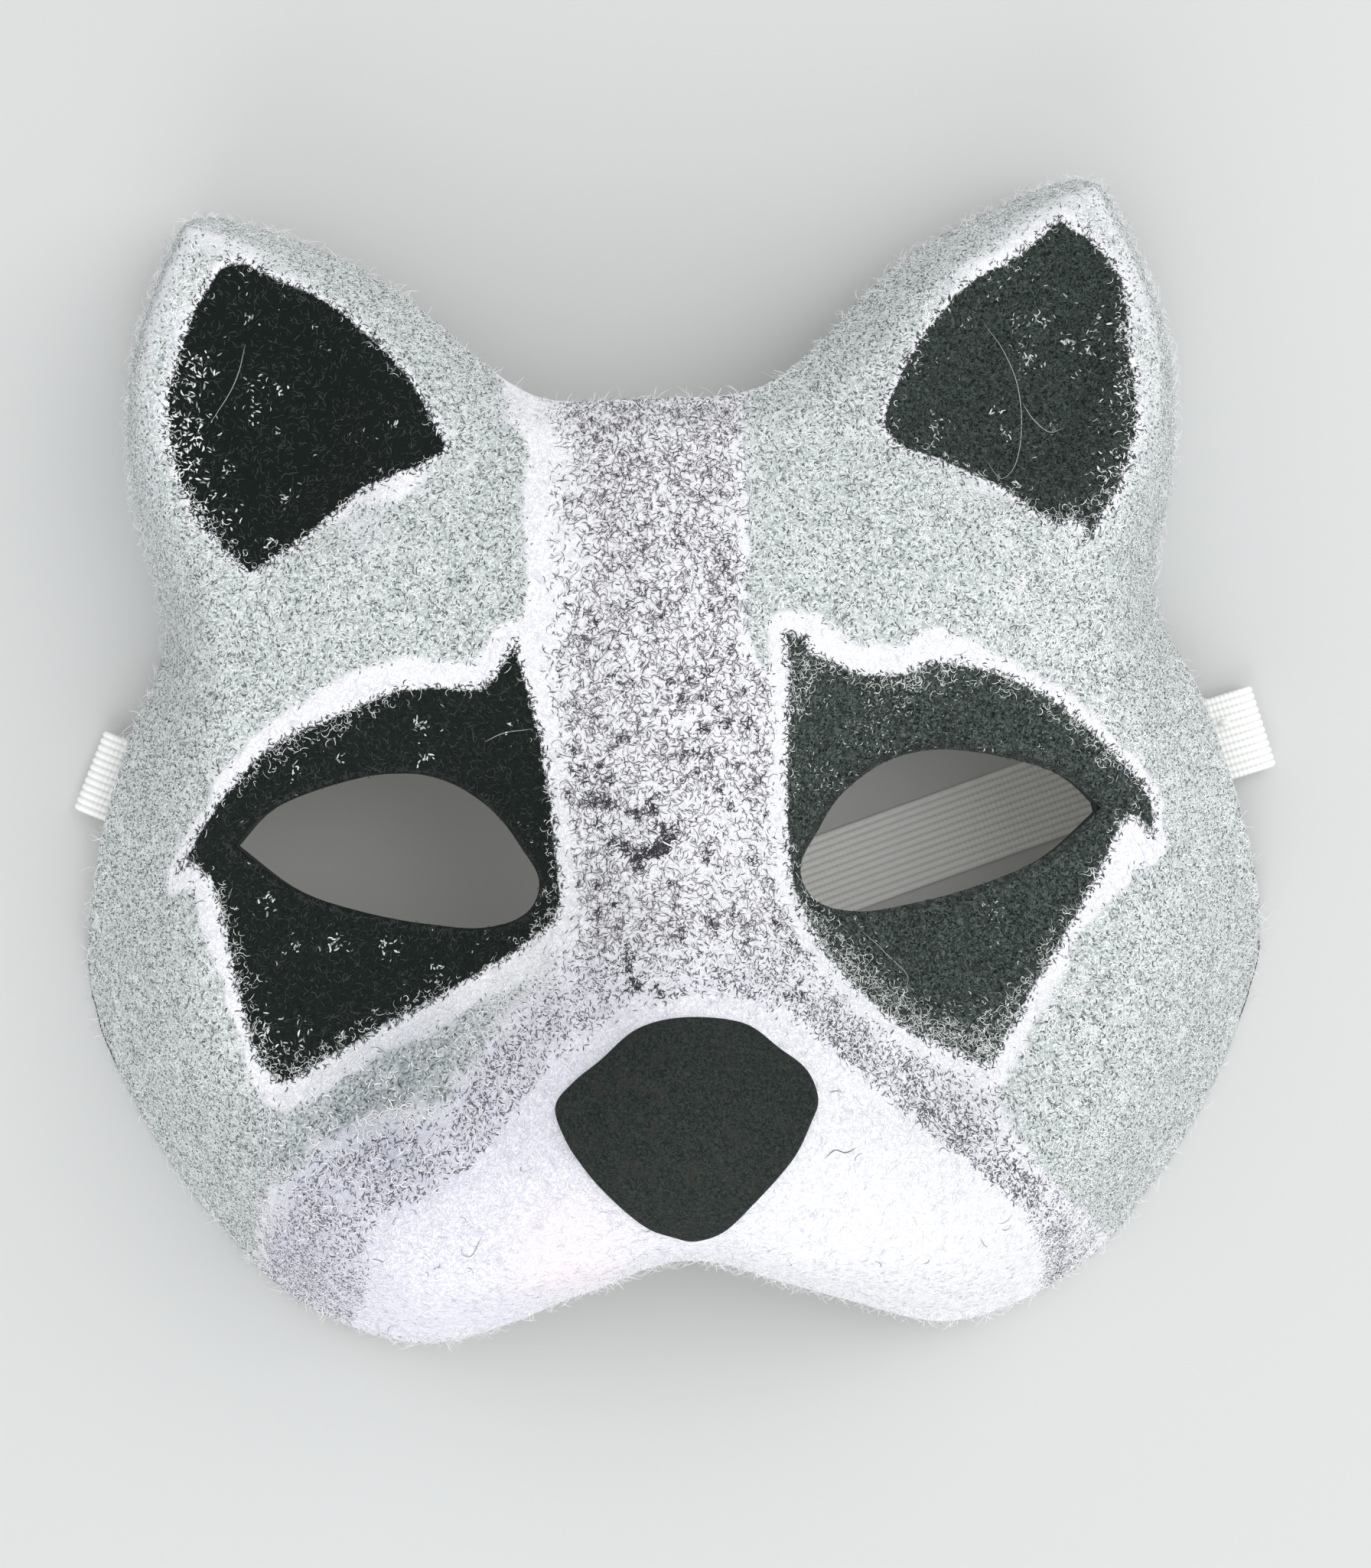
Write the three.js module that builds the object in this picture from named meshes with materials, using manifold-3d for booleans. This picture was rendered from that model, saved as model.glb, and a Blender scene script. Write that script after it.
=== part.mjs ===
// Raccoon half mask: a moulded shell with ears, covered in one felt skin and worn on an elastic strap.
// Millimetres. The mask lies face up on its rim. +X points to the right of the face as it is seen,
// +Y to the ears and +Z out of the face. The origin lies on the floor under the middle of the mask.

import * as THREE from "three";
import { mergeVertices } from "three/addons/utils/BufferGeometryUtils.js";
import Module from "manifold-3d";

const wasm = await Module();
wasm.setup();

// Layers, counted inward from the outer face of the felt
const FELT = 1.2;
const GLUE_LINE = 0.3;
const SHELL = 1.6;
// Lowest point of the felt: the shell below it is what touches the floor
const FELT_HEM = 0.3;

// Inner ears are dished: depth, middle of the dish, its half sizes and the lean of its long axis.
// The floor of the dish is flat where the bowl would go deeper than the depth.
const EAR_DISH = { depth: 4.5, x: 56, y: 55, along: 27, across: 18, lean: 65, bowl: 1.6 };

// Elastic strap: woven width and thickness, and the radius of its folds beside the temples
const STRAP_WIDTH = 13.5;
const STRAP_THICKNESS = 1.0;
const STRAP_FOLD = 1.5;
const STRAP_FLOOR_GAP = 0.1;
const STRAP_WALL_GAP = 0.6;
// Where the strap leaves the wall: distance in from the outline and height over its upper layer
const STRAP_LEAVES = { inward: 5, rise: 0.9 };

// Drop of dried glue that has run out under the rim onto the strap: middle, half sizes, and how far
// the strap has risen there towards the wall
const GLUE_DROP = { x: 88.9, y: 3.0, long: 0.9, wide: 0.6, high: 0.5, lean: 15, rise: 0.45 };

// Mesh fineness
const RIM_STEPS = 3;
const FINE_STEPS = 8;
const CUT_STEP = 5;
const NOSE_STEP = 3;
const FOLD_STEPS = 6;
const DROP_STEPS = { around: 12, down: 8 };
const SLOPE_STEP = 0.4;
const REACH_STEP = 0.25;
// Size of the cutting solids, larger than the mask
const CUT_BELOW = -20;
const CUT_ABOVE = 110;
const BLOCK = 300;
// Middle of the face, from which the rings of the mesh are drawn
const HUB = { x: 0, y: -5 };
// Rings from the rim to the middle. The inner ones have half the points.
const OUTER_RINGS = [0, 0.03, 0.07, 0.12];
const INNER_RINGS = [0.18, 0.25, 0.32, 0.4, 0.48, 0.56, 0.65, 0.74, 0.83, 0.92];

// Right half of the outline, from the lip round to the forehead. rim is the height of the edge
// above the floor, and roll is how far in from the edge the surface has turned to face forward.
const OUTLINE = [
  { at: "lip notch", x: 0, y: -74.2, rim: 34, roll: 8 },
  { at: "lip rise", x: 16.2, y: -80.3, rim: 25, roll: 11 },
  { at: "jowl bottom", x: 41, y: -90, rim: 8, roll: 20 },
  { at: "jowl corner", x: 61.8, y: -84, rim: 2, roll: 24 },
  { at: "low cheek", x: 76.3, y: -69.7, rim: 0.3, roll: 26 },
  { at: "mid cheek", x: 88, y: -50.9, rim: 0.3, roll: 26.5 },
  { at: "cheek", x: 94.6, y: -30.5, rim: 0.3, roll: 27 },
  { at: "below strap", x: 90.8, y: -11, rim: 8.5, roll: 25 },
  { at: "temple", x: 85, y: 8, rim: 9, roll: 21 },
  { at: "ear root", x: 80, y: 24, rim: 0.3, roll: 15 },
  { at: "ear side", x: 83.7, y: 45, rim: 0.3, roll: 11 },
  { at: "ear shoulder", x: 83.4, y: 63.5, rim: 2, roll: 10 },
  { at: "ear top", x: 76.5, y: 81.5, rim: 6.5, roll: 9 },
  { at: "ear tip", x: 70, y: 89.6, rim: 9, roll: 8.5 },
  { at: "ear lip", x: 57, y: 86.5, rim: 10, roll: 9 },
  { at: "inner ear edge", x: 39.5, y: 77.3, rim: 13, roll: 10 },
  { at: "valley", x: 24.5, y: 62.6, rim: 22, roll: 10 },
  { at: "brow edge", x: 15, y: 56.2, rim: 29, roll: 8 },
  { at: "forehead", x: 0, y: 55.5, rim: 31, roll: 8 },
];

// Height of the face, one row for each level y. The columns are places across the half face.
const COLUMNS = [
  { name: "ridge", x: 0 },
  { name: "flank", x: 14 },
  { name: "inner", x: 28 },
  { name: "middle", x: 44 },
  { name: "outer", x: 60 },
  { name: "side", x: 76 },
  { name: "edge", x: 92 },
];
const LEVELS = [
  { y: -88, ridge: 38, flank: 43, inner: 43, middle: 40, outer: 34, side: 24, edge: 16 },
  { y: -72, ridge: 53, flank: 56, inner: 54, middle: 49, outer: 42, side: 32, edge: 22 },
  { y: -58, ridge: 66, flank: 63, inner: 57, middle: 50, outer: 43, side: 35, edge: 25 },
  { y: -44, ridge: 68, flank: 61, inner: 52, middle: 45, outer: 40, side: 35, edge: 27 },
  { y: -30, ridge: 59, flank: 52, inner: 43, middle: 39, outer: 37, side: 34, edge: 27 },
  { y: -16, ridge: 52, flank: 46, inner: 37, middle: 36, outer: 35, side: 32, edge: 25 },
  { y: -4, ridge: 50, flank: 46, inner: 38, middle: 36, outer: 35, side: 31, edge: 23 },
  { y: 14, ridge: 50, flank: 47, inner: 44, middle: 42, outer: 38, side: 32, edge: 23 },
  { y: 32, ridge: 47, flank: 45, inner: 43, middle: 41, outer: 38, side: 33, edge: 25 },
  { y: 48, ridge: 41, flank: 39, inner: 38, middle: 38, outer: 38, side: 35, edge: 28 },
  { y: 62, ridge: 34, flank: 33, inner: 33, middle: 35, outer: 37, side: 35, edge: 28 },
  { y: 76, ridge: 28, flank: 28, inner: 29, middle: 32, outer: 34, side: 33, edge: 28 },
  { y: 92, ridge: 24, flank: 24, inner: 25, middle: 27, outer: 30, side: 30, edge: 27 },
];

// Right eye hole, which comes to a point at its outer corner. The left one is its mirror image.
const EYE_HOLE = [
  { x: 64.8, y: -9.3, corner: true },
  { x: 60, y: -4.9 },
  { x: 50.5, y: -1.3 },
  { x: 40, y: 0.3 },
  { x: 32.5, y: -1.2 },
  { x: 26, y: -5.6 },
  { x: 22, y: -11 },
  { x: 19.3, y: -16.2 },
  { x: 21, y: -20.4 },
  { x: 27, y: -22.6 },
  { x: 36, y: -21.9 },
  { x: 46, y: -19.7 },
  { x: 56, y: -15.9 },
];

// Felt nose, cut by hand and glued on top of the cover
const NOSE = [
  { x: 1.4, y: -35.8 },
  { x: 9, y: -37.1 },
  { x: 13.9, y: -40.8 },
  { x: 17.6, y: -44 },
  { x: 19, y: -48 },
  { x: 17.8, y: -51 },
  { x: 15.1, y: -55.5 },
  { x: 9.8, y: -60.8 },
  { x: 5.5, y: -64.9 },
  { x: 1.5, y: -66.2 },
  { x: -1.6, y: -65.4 },
  { x: -5.4, y: -63.5 },
  { x: -10.6, y: -58.3 },
  { x: -13.3, y: -55 },
  { x: -15.4, y: -51.7 },
  { x: -16.7, y: -47.4 },
  { x: -14.2, y: -44.2 },
  { x: -10, y: -41.1 },
  { x: -4.9, y: -37.1 },
];

// Strap: its two folds, with the way each tab points out from the face, and its route between
// them along the floor from left to right, which keeps clear of the sight of the left eye
const STRAP_FOLDS = {
  left: { x: -92.5, y: 3.6, points: 156 },
  right: { x: 95.9, y: 2.4, points: 15 },
};
const STRAP_ROUTE = [
  { x: -87, y: 1.2 },
  { x: -83.6, y: -0.9 },
  { x: -80.6, y: -4.2 },
  { x: -78, y: -8.7 },
  { x: -75.2, y: -13.7 },
  { x: -71.6, y: -19.2 },
  { x: -66.8, y: -24.6 },
  { x: -60, y: -29.6 },
  { x: -50, y: -34 },
  { x: -38, y: -36.4 },
  { x: -26, y: -35.6 },
  { x: -14, y: -31.6 },
  { x: 2, y: -26.3 },
  { x: 24, y: -19.2 },
  { x: 46, y: -12.3 },
  { x: 68, y: -5.6 },
  { x: 88, y: 0.2 },
];
// Where the glued ends of the strap lie on the inside of the wall: distances in from the outline
const STRAP_GLUED = [20, 16.5, 13, 10, 7.5];

// Colours as they look in daylight
const COLOURS = {
  shell: 0xd9d3c6,
  felt: 0xd2d5d6,
  nose: 0x323735,
  elastic: 0xf4f4f2,
  glue: 0xdadcd6,
};

// Smooth curve through four values in a row, between the middle two
function catmullRom(a, b, c, d, t) {
  const slopeIn = (c - a) / 2;
  const slopeOut = (d - b) / 2;
  const cubic = 2 * b - 2 * c + slopeIn + slopeOut;
  const square = -3 * b + 3 * c - 2 * slopeIn - slopeOut;
  return ((cubic * t + square) * t + slopeIn) * t + b;
}

// The whole outline, mirrored from the right half, as a closed loop with the given fineness
function wholeOutline(steps) {
  const left = OUTLINE.slice(1, -1).reverse().map((row) => ({ ...row, x: -row.x }));
  const rows = [...OUTLINE, ...left];
  const loop = [];
  rows.forEach((row, i) => {
    const four = [-1, 0, 1, 2].map((k) => rows[(i + k + rows.length) % rows.length]);
    for (let step = 0; step < steps; step += 1) {
      const point = {};
      for (const column of ["x", "y", "rim", "roll"]) {
        point[column] = catmullRom(...four.map((other) => other[column]), step / steps);
      }
      loop.push(point);
    }
  });
  return loop;
}

const FINE_OUTLINE = wholeOutline(FINE_STEPS);

// Nearest place of the outline: how far inside it the point is, with the rim and roll found there
function fromOutline(x, y) {
  const best = { inside: Infinity, rim: 0, roll: 1 };
  let crossings = 0;
  FINE_OUTLINE.forEach((a, i) => {
    const b = FINE_OUTLINE[(i + 1) % FINE_OUTLINE.length];
    const run = { x: b.x - a.x, y: b.y - a.y };
    const along = ((x - a.x) * run.x + (y - a.y) * run.y) / (run.x ** 2 + run.y ** 2);
    const t = THREE.MathUtils.clamp(along, 0, 1);
    const distance = Math.hypot(x - a.x - t * run.x, y - a.y - t * run.y);
    if (distance < best.inside) {
      best.inside = distance;
      best.rim = a.rim + t * (b.rim - a.rim);
      best.roll = a.roll + t * (b.roll - a.roll);
    }
    if (a.y > y !== b.y > y && x < a.x + ((y - a.y) / run.y) * run.x) crossings += 1;
  });
  if (crossings % 2 === 0) best.inside = -best.inside;
  return best;
}

// Smooth curve through values at uneven places
function smoothThrough(places, values, at) {
  const last = places.length - 1;
  const slope = (i) => {
    const low = Math.max(i - 1, 0);
    const high = Math.min(i + 1, last);
    return (values[high] - values[low]) / (places[high] - places[low]);
  };
  let k = 0;
  while (k < last - 1 && at > places[k + 1]) k += 1;
  const gap = places[k + 1] - places[k];
  const t = THREE.MathUtils.clamp((at - places[k]) / gap, 0, 1);
  const rise = values[k + 1] - values[k];
  const start = slope(k) * gap;
  const end = slope(k + 1) * gap;
  return values[k] + t * (start + t * (3 * rise - 2 * start - end + t * (start + end - 2 * rise)));
}

// Height of the face before its edge is rolled back
function frontHeight(x, y) {
  const levels = LEVELS.map((row) => row.y);
  const across = COLUMNS.map(({ name }) => smoothThrough(levels, LEVELS.map((row) => row[name]), y));
  const places = COLUMNS.map((column) => column.x);
  const bothSides = [-places[1], ...places];
  const height = smoothThrough(bothSides, [across[1], ...across], Math.abs(x));
  const lean = THREE.MathUtils.degToRad(EAR_DISH.lean);
  const dx = Math.abs(x) - EAR_DISH.x;
  const dy = y - EAR_DISH.y;
  const along = (dx * Math.cos(lean) + dy * Math.sin(lean)) / EAR_DISH.along;
  const sideways = (dx * Math.sin(lean) - dy * Math.cos(lean)) / EAR_DISH.across;
  const dish = Math.max(0, 1 - along ** 2 - sideways ** 2) ** 2;
  return height - EAR_DISH.depth * Math.min(1, EAR_DISH.bowl * dish);
}

// Outer face of the felt
function surfaceHeight(x, y) {
  const { inside, rim, roll } = fromOutline(x, y);
  const turned = Math.sin((Math.PI / 2) * THREE.MathUtils.clamp(inside / roll, -0.5, 1));
  return rim + (frontHeight(x, y) - rim) * turned;
}

function surfaceNormal(x, y) {
  const riseX = surfaceHeight(x + SLOPE_STEP, y) - surfaceHeight(x - SLOPE_STEP, y);
  const riseY = surfaceHeight(x, y + SLOPE_STEP) - surfaceHeight(x, y - SLOPE_STEP);
  return new THREE.Vector3(-riseX, -riseY, 2 * SLOPE_STEP).normalize();
}

// A point at a depth under the outer face of the felt, measured square to it
function underSurface(x, y, depth) {
  const point = new THREE.Vector3(x, y, surfaceHeight(x, y));
  return point.addScaledVector(surfaceNormal(x, y), -depth);
}

// Triangles between two rings of points. The inner ring has as many points or half as many.
function ringTriangles(outer, inner) {
  const triangles = [];
  const half = outer.length > inner.length;
  inner.forEach((point, i) => {
    const next = inner[(i + 1) % inner.length];
    const [a, b, c] = half
      ? [outer[2 * i], outer[2 * i + 1], outer[(2 * i + 2) % outer.length]]
      : [outer[i], outer[(i + 1) % outer.length]];
    triangles.push([a, b, half ? point : next]);
    triangles.push(half ? [b, next, point] : [a, next, point]);
    if (half) triangles.push([b, c, next]);
  });
  return triangles;
}

// The plan that every layer shares: points on rings from the rim to the hub, and their triangles
function facePlan() {
  const loop = wholeOutline(RIM_STEPS);
  const points = [];
  const ringOf = (inward, every) => {
    const ring = [];
    loop.filter((point, i) => i % every === 0).forEach(({ x, y }) => {
      ring.push(points.length);
      points.push({ x: x + (HUB.x - x) * inward, y: y + (HUB.y - y) * inward });
    });
    return ring;
  };
  const rings = [
    ...OUTER_RINGS.map((inward) => ringOf(inward, 1)),
    ...INNER_RINGS.map((inward) => ringOf(inward, 2)),
  ];
  const triangles = rings.slice(1).flatMap((ring, i) => ringTriangles(rings[i], ring));
  const innermost = rings[rings.length - 1];
  innermost.forEach((point, i) => {
    triangles.push([point, innermost[(i + 1) % innermost.length], points.length]);
  });
  points.push(HUB);
  return { points, triangles, rim: rings[0] };
}

function geometryOf(vertices, triangles) {
  const positions = vertices.flatMap((vertex) => vertex.toArray());
  const geometry = new THREE.BufferGeometry();
  geometry.setAttribute("position", new THREE.Float32BufferAttribute(positions, 3));
  geometry.setIndex(triangles);
  return geometry;
}

// A closed wall between two depths under the outer face of the felt
function faceWall(outerDepth, innerDepth) {
  const plan = facePlan();
  const outer = plan.points.map(({ x, y }) => underSurface(x, y, outerDepth));
  const inner = plan.points.map(({ x, y }) => underSurface(x, y, innerDepth));
  const count = outer.length;
  const triangles = plan.triangles.flatMap(([a, b, c]) => [a, b, c, count + a, count + c, count + b]);
  plan.rim.forEach((point, i) => {
    const next = plan.rim[(i + 1) % plan.rim.length];
    triangles.push(point, count + point, count + next, point, count + next, next);
  });
  return geometryOf([...outer, ...inner], triangles);
}

function solidOf(geometry) {
  const bare = geometry.clone();
  bare.deleteAttribute("normal");
  bare.deleteAttribute("uv");
  const merged = mergeVertices(bare, 1e-4);
  const mesh = new wasm.Mesh({
    numProp: 3,
    vertProperties: new Float32Array(merged.attributes.position.array),
    triVerts: new Uint32Array(merged.index.array),
  });
  return new wasm.Manifold(mesh);
}

// A closed outline through a table. It is smooth but for the row marked as a corner.
function outlineThrough(rows, step) {
  const corner = rows.findIndex((row) => row.corner);
  const flat = rows.map(({ x, y }) => new THREE.Vector3(x, y, 0));
  const closed = corner < 0;
  const through = closed ? flat : [...flat.slice(corner), ...flat.slice(0, corner), flat[corner]];
  const curve = new THREE.CatmullRomCurve3(through, closed);
  const steps = Math.round(curve.getLength() / step);
  return curve.getSpacedPoints(steps).slice(0, -1).map(({ x, y }) => new THREE.Vector2(x, y));
}

// An upright cutter with the given outline
function cutter(outline) {
  const shape = new THREE.Shape(outline);
  const prism = new THREE.ExtrudeGeometry(shape, { depth: CUT_ABOVE - CUT_BELOW, bevelEnabled: false });
  return solidOf(prism.translate(0, 0, CUT_BELOW));
}

// Everything above a height
function above(height) {
  const box = new THREE.BoxGeometry(BLOCK, BLOCK, BLOCK);
  return solidOf(box.translate(0, 0, height + BLOCK / 2));
}

function mirrored(rows) {
  return rows.map((row) => ({ ...row, x: -row.x }));
}

// A strap of even width: its middle line, the way across it at each point, and square ends
function ribbon(middle, across) {
  const corners = [];
  const triangles = [];
  middle.forEach((point, i) => {
    const ahead = middle[Math.min(i + 1, middle.length - 1)].clone();
    const along = ahead.sub(middle[Math.max(i - 1, 0)]).normalize();
    const sideways = across[i].clone().addScaledVector(along, -along.dot(across[i])).normalize();
    const up = new THREE.Vector3().crossVectors(along, sideways);
    for (const [s, u] of [[-1, -1], [1, -1], [1, 1], [-1, 1]]) {
      const corner = point.clone().addScaledVector(sideways, (s * STRAP_WIDTH) / 2);
      corners.push(corner.addScaledVector(up, (u * STRAP_THICKNESS) / 2));
    }
  });
  const last = (middle.length - 1) * 4;
  for (let i = 0; i < last; i += 4) {
    for (let side = 0; side < 4; side += 1) {
      const next = (side + 1) % 4;
      triangles.push(i + side, i + next, i + 4 + next, i + side, i + 4 + next, i + 4 + side);
    }
  }
  triangles.push(0, 2, 1, 0, 3, 2, last, last + 1, last + 2, last, last + 2, last + 3);
  return geometryOf(corners, triangles);
}

// How far the outline lies from a point, along a direction
function reachOfRim(from, out) {
  let reach = -40;
  while (fromOutline(from.x + out.x * reach, from.y + out.y * reach).inside > 0) reach += REACH_STEP;
  return reach;
}

const STRAP_FLOOR = STRAP_FLOOR_GAP + STRAP_THICKNESS / 2;
const STRAP_TOP = STRAP_FLOOR + 2 * STRAP_FOLD;

// One end of the strap, from its glued tip down the inside of the wall, out under the rim and
// round its fold to the floor
function strapEnd({ x, y, points }) {
  const turn = THREE.MathUtils.degToRad(points);
  const out = new THREE.Vector3(Math.cos(turn), Math.sin(turn), 0);
  const across = new THREE.Vector3(-out.y, out.x, 0);
  const outermost = new THREE.Vector3(x, y, STRAP_FLOOR);
  const fold = outermost.addScaledVector(out, -STRAP_FOLD - STRAP_THICKNESS / 2);
  const rimReach = reachOfRim(fold, out);
  const depth = FELT + GLUE_LINE + SHELL + STRAP_WALL_GAP + STRAP_THICKNESS / 2;
  const end = [];
  for (const inward of STRAP_GLUED) {
    const place = fold.clone().addScaledVector(out, rimReach - inward);
    const normal = surfaceNormal(place.x, place.y);
    const flat = new THREE.Vector3().crossVectors(normal, out).normalize();
    const aside = flat.dot(across) < 0 ? flat.negate() : flat;
    end.push({ middle: underSurface(place.x, place.y, depth), across: aside });
  }
  const leaves = fold.clone().addScaledVector(out, rimReach - STRAP_LEAVES.inward);
  end.push({ middle: leaves.setZ(STRAP_TOP + STRAP_LEAVES.rise), across });
  for (let step = 0; step <= FOLD_STEPS; step += 1) {
    const bend = Math.PI * (0.5 - step / FOLD_STEPS);
    const middle = fold.clone().addScaledVector(out, STRAP_FOLD * Math.cos(bend));
    middle.z = STRAP_FLOOR + STRAP_FOLD * (1 + Math.sin(bend));
    end.push({ middle, across });
  }
  return end;
}

function strapGeometry() {
  const route = STRAP_ROUTE.map(({ x, y }) => new THREE.Vector3(x, y, STRAP_FLOOR));
  const laid = route.map((point, i) => {
    const ahead = route[Math.min(i + 1, route.length - 1)].clone();
    const along = ahead.sub(route[Math.max(i - 1, 0)]).normalize();
    return { middle: point, across: new THREE.Vector3(along.y, -along.x, 0) };
  });
  const left = strapEnd(STRAP_FOLDS.left);
  const right = strapEnd(STRAP_FOLDS.right).reverse().map(({ middle, across }) => (
    { middle, across: across.clone().negate() }
  ));
  const stations = [...left, ...laid, ...right];
  return ribbon(stations.map((s) => s.middle), stations.map((s) => s.across));
}

function dropGeometry() {
  const { x, y, long, wide, high, lean, rise } = GLUE_DROP;
  const drop = new THREE.SphereGeometry(1, DROP_STEPS.around, DROP_STEPS.down);
  drop.scale(long, wide, high).rotateZ(THREE.MathUtils.degToRad(lean));
  const resting = STRAP_TOP + STRAP_THICKNESS / 2 + rise + GLUE_LINE + high;
  return geometryFrom(solidOf(drop.translate(x, y, resting)));
}

function geometryFrom(solid) {
  const { numProp, vertProperties, triVerts } = solid.getMesh();
  const vertices = [];
  for (let i = 0; i < vertProperties.length; i += numProp) {
    vertices.push(new THREE.Vector3().fromArray(vertProperties, i));
  }
  return geometryOf(vertices, Array.from(triVerts));
}

function meshOf(name, geometry, color, roughness) {
  const material = new THREE.MeshStandardMaterial({ color, roughness, metalness: 0 });
  geometry.computeVertexNormals();
  const mesh = new THREE.Mesh(geometry, material);
  mesh.name = name;
  return mesh;
}

const eyeHoles = cutter(outlineThrough(EYE_HOLE, CUT_STEP))
  .add(cutter(outlineThrough(mirrored(EYE_HOLE), CUT_STEP)));
const shell = solidOf(faceWall(FELT + GLUE_LINE, FELT + GLUE_LINE + SHELL))
  .subtract(eyeHoles)
  .intersect(above(0));
const cover = solidOf(faceWall(0, FELT))
  .subtract(eyeHoles)
  .intersect(above(FELT_HEM));
const nose = solidOf(faceWall(-GLUE_LINE - FELT, -GLUE_LINE))
  .intersect(cutter(outlineThrough(NOSE, NOSE_STEP)));

const mask = new THREE.Group();
mask.add(
  meshOf("mask_shell", geometryFrom(shell), COLOURS.shell, 0.9),
  meshOf("felt_cover", geometryFrom(cover), COLOURS.felt, 0.95),
  meshOf("nose_pad", geometryFrom(nose), COLOURS.nose, 0.9),
  meshOf("strap", strapGeometry(), COLOURS.elastic, 0.8),
  meshOf("glue_drop", dropGeometry(), COLOURS.glue, 0.3),
);

export default mask;
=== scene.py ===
# %% [markdown]
# # A raccoon half mask in painted felt
# The mask is a moulded shell that is covered in one skin of white felt. Its maker painted the face on
# the felt, glued a felt nose on top and fixed an elastic strap inside the temples. This lesson builds
# it in Blender, on top of the CAD model, which gives every size and place.

# %% Load the CAD frame
import math

import bpy
import numpy as np
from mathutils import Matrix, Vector
from mathutils.geometry import delaunay_2d_cdt


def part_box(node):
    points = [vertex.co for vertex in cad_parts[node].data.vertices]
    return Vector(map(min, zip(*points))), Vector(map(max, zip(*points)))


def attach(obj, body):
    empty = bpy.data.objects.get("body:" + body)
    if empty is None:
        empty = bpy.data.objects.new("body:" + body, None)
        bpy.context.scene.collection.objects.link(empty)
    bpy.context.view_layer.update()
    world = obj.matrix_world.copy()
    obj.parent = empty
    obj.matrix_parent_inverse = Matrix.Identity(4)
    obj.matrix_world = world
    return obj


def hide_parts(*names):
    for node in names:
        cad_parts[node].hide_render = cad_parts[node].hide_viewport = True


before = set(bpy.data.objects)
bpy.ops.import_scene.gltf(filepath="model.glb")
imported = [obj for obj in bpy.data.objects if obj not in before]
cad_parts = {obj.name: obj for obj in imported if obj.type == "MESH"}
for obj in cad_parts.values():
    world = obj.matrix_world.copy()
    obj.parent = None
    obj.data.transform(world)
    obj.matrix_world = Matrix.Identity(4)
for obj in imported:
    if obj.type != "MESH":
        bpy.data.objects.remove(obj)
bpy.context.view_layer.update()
MM = 0.001

# %% [markdown]
# ## The camera
# The photo was taken from straight above, with the mask turned a little on the ground. A pinhole camera
# needs its place, its turn and its focal length. The focal length comes from the scale on the floor: one
# pixel there is 0.1232 mm wide, seen from 450 mm up.

# %% Camera above the mask
PHOTO_PIXELS = (1792, 2050)
CAMERA_HEIGHT = 450 * MM
FLOOR_MM_PER_PIXEL = 0.1232
CAMERA_OVER = (2.9, -3.0)
CAMERA_TURN = -2.5
SENSOR_WIDTH = 36
NEAREST_SEEN = 0.01

camera_data = bpy.data.cameras.new("camera")
camera_data.sensor_width = SENSOR_WIDTH
focal_pixels = CAMERA_HEIGHT / (FLOOR_MM_PER_PIXEL * MM)
camera_data.lens = focal_pixels * SENSOR_WIDTH / max(PHOTO_PIXELS)
camera_data.clip_start = NEAREST_SEEN
camera = bpy.data.objects.new("camera", camera_data)
camera.location = (CAMERA_OVER[0] * MM, CAMERA_OVER[1] * MM, CAMERA_HEIGHT)
camera.rotation_euler = (0, 0, math.radians(CAMERA_TURN))
bpy.context.scene.collection.objects.link(camera)
bpy.context.scene.camera = camera
print(f"focal length {camera_data.lens:.1f} mm")

# %% [markdown]
# ## The face as a surface
# Every layer of the mask follows one surface: the outer face of the felt. The CAD model gives it by two
# short tables, and this lesson repeats them. The first goes round the edge of the right half. Beside each
# place it holds the rim's height over the floor and how far in the face has rolled over to the front.

# %% Edge of the mask, right half
OUTLINE = [
    # place, x, y, height of the rim, how far in the roll ends
    ("lip notch", 0, -74.2, 34, 8),
    ("lip rise", 16.2, -80.3, 25, 11),
    ("jowl bottom", 41, -90, 8, 20),
    ("jowl corner", 61.8, -84, 2, 24),
    ("low cheek", 76.3, -69.7, 0.3, 26),
    ("mid cheek", 88, -50.9, 0.3, 26.5),
    ("cheek", 94.6, -30.5, 0.3, 27),
    ("below strap", 90.8, -11, 8.5, 25),
    ("temple", 85, 8, 9, 21),
    ("ear root", 80, 24, 0.3, 15),
    ("ear side", 83.7, 45, 0.3, 11),
    ("ear shoulder", 83.4, 63.5, 2, 10),
    ("ear top", 76.5, 81.5, 6.5, 9),
    ("ear tip", 70, 89.6, 9, 8.5),
    ("ear lip", 57, 86.5, 10, 9),
    ("inner ear edge", 39.5, 77.3, 13, 10),
    ("valley", 24.5, 62.6, 22, 10),
    ("brow edge", 15, 56.2, 29, 8),
    ("forehead", 0, 55.5, 31, 8),
]
EDGE_STEPS = 8


def closed_curve(rows, steps):
    """Smooth closed curve through the rows, with the same number of steps between each two."""
    before, after, beyond = (np.roll(rows, shift, axis=0) for shift in (1, -1, -2))
    slope_in, slope_out = (after - before) / 2, (beyond - rows) / 2
    t = (np.arange(steps) / steps)[None, :, None]
    cubic = (2 * rows - 2 * after + slope_in + slope_out)[:, None]
    square = (3 * after - 3 * rows - 2 * slope_in - slope_out)[:, None]
    curve = ((cubic * t + square) * t + slope_in[:, None]) * t + rows[:, None]
    return curve.reshape(-1, rows.shape[1])


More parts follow.
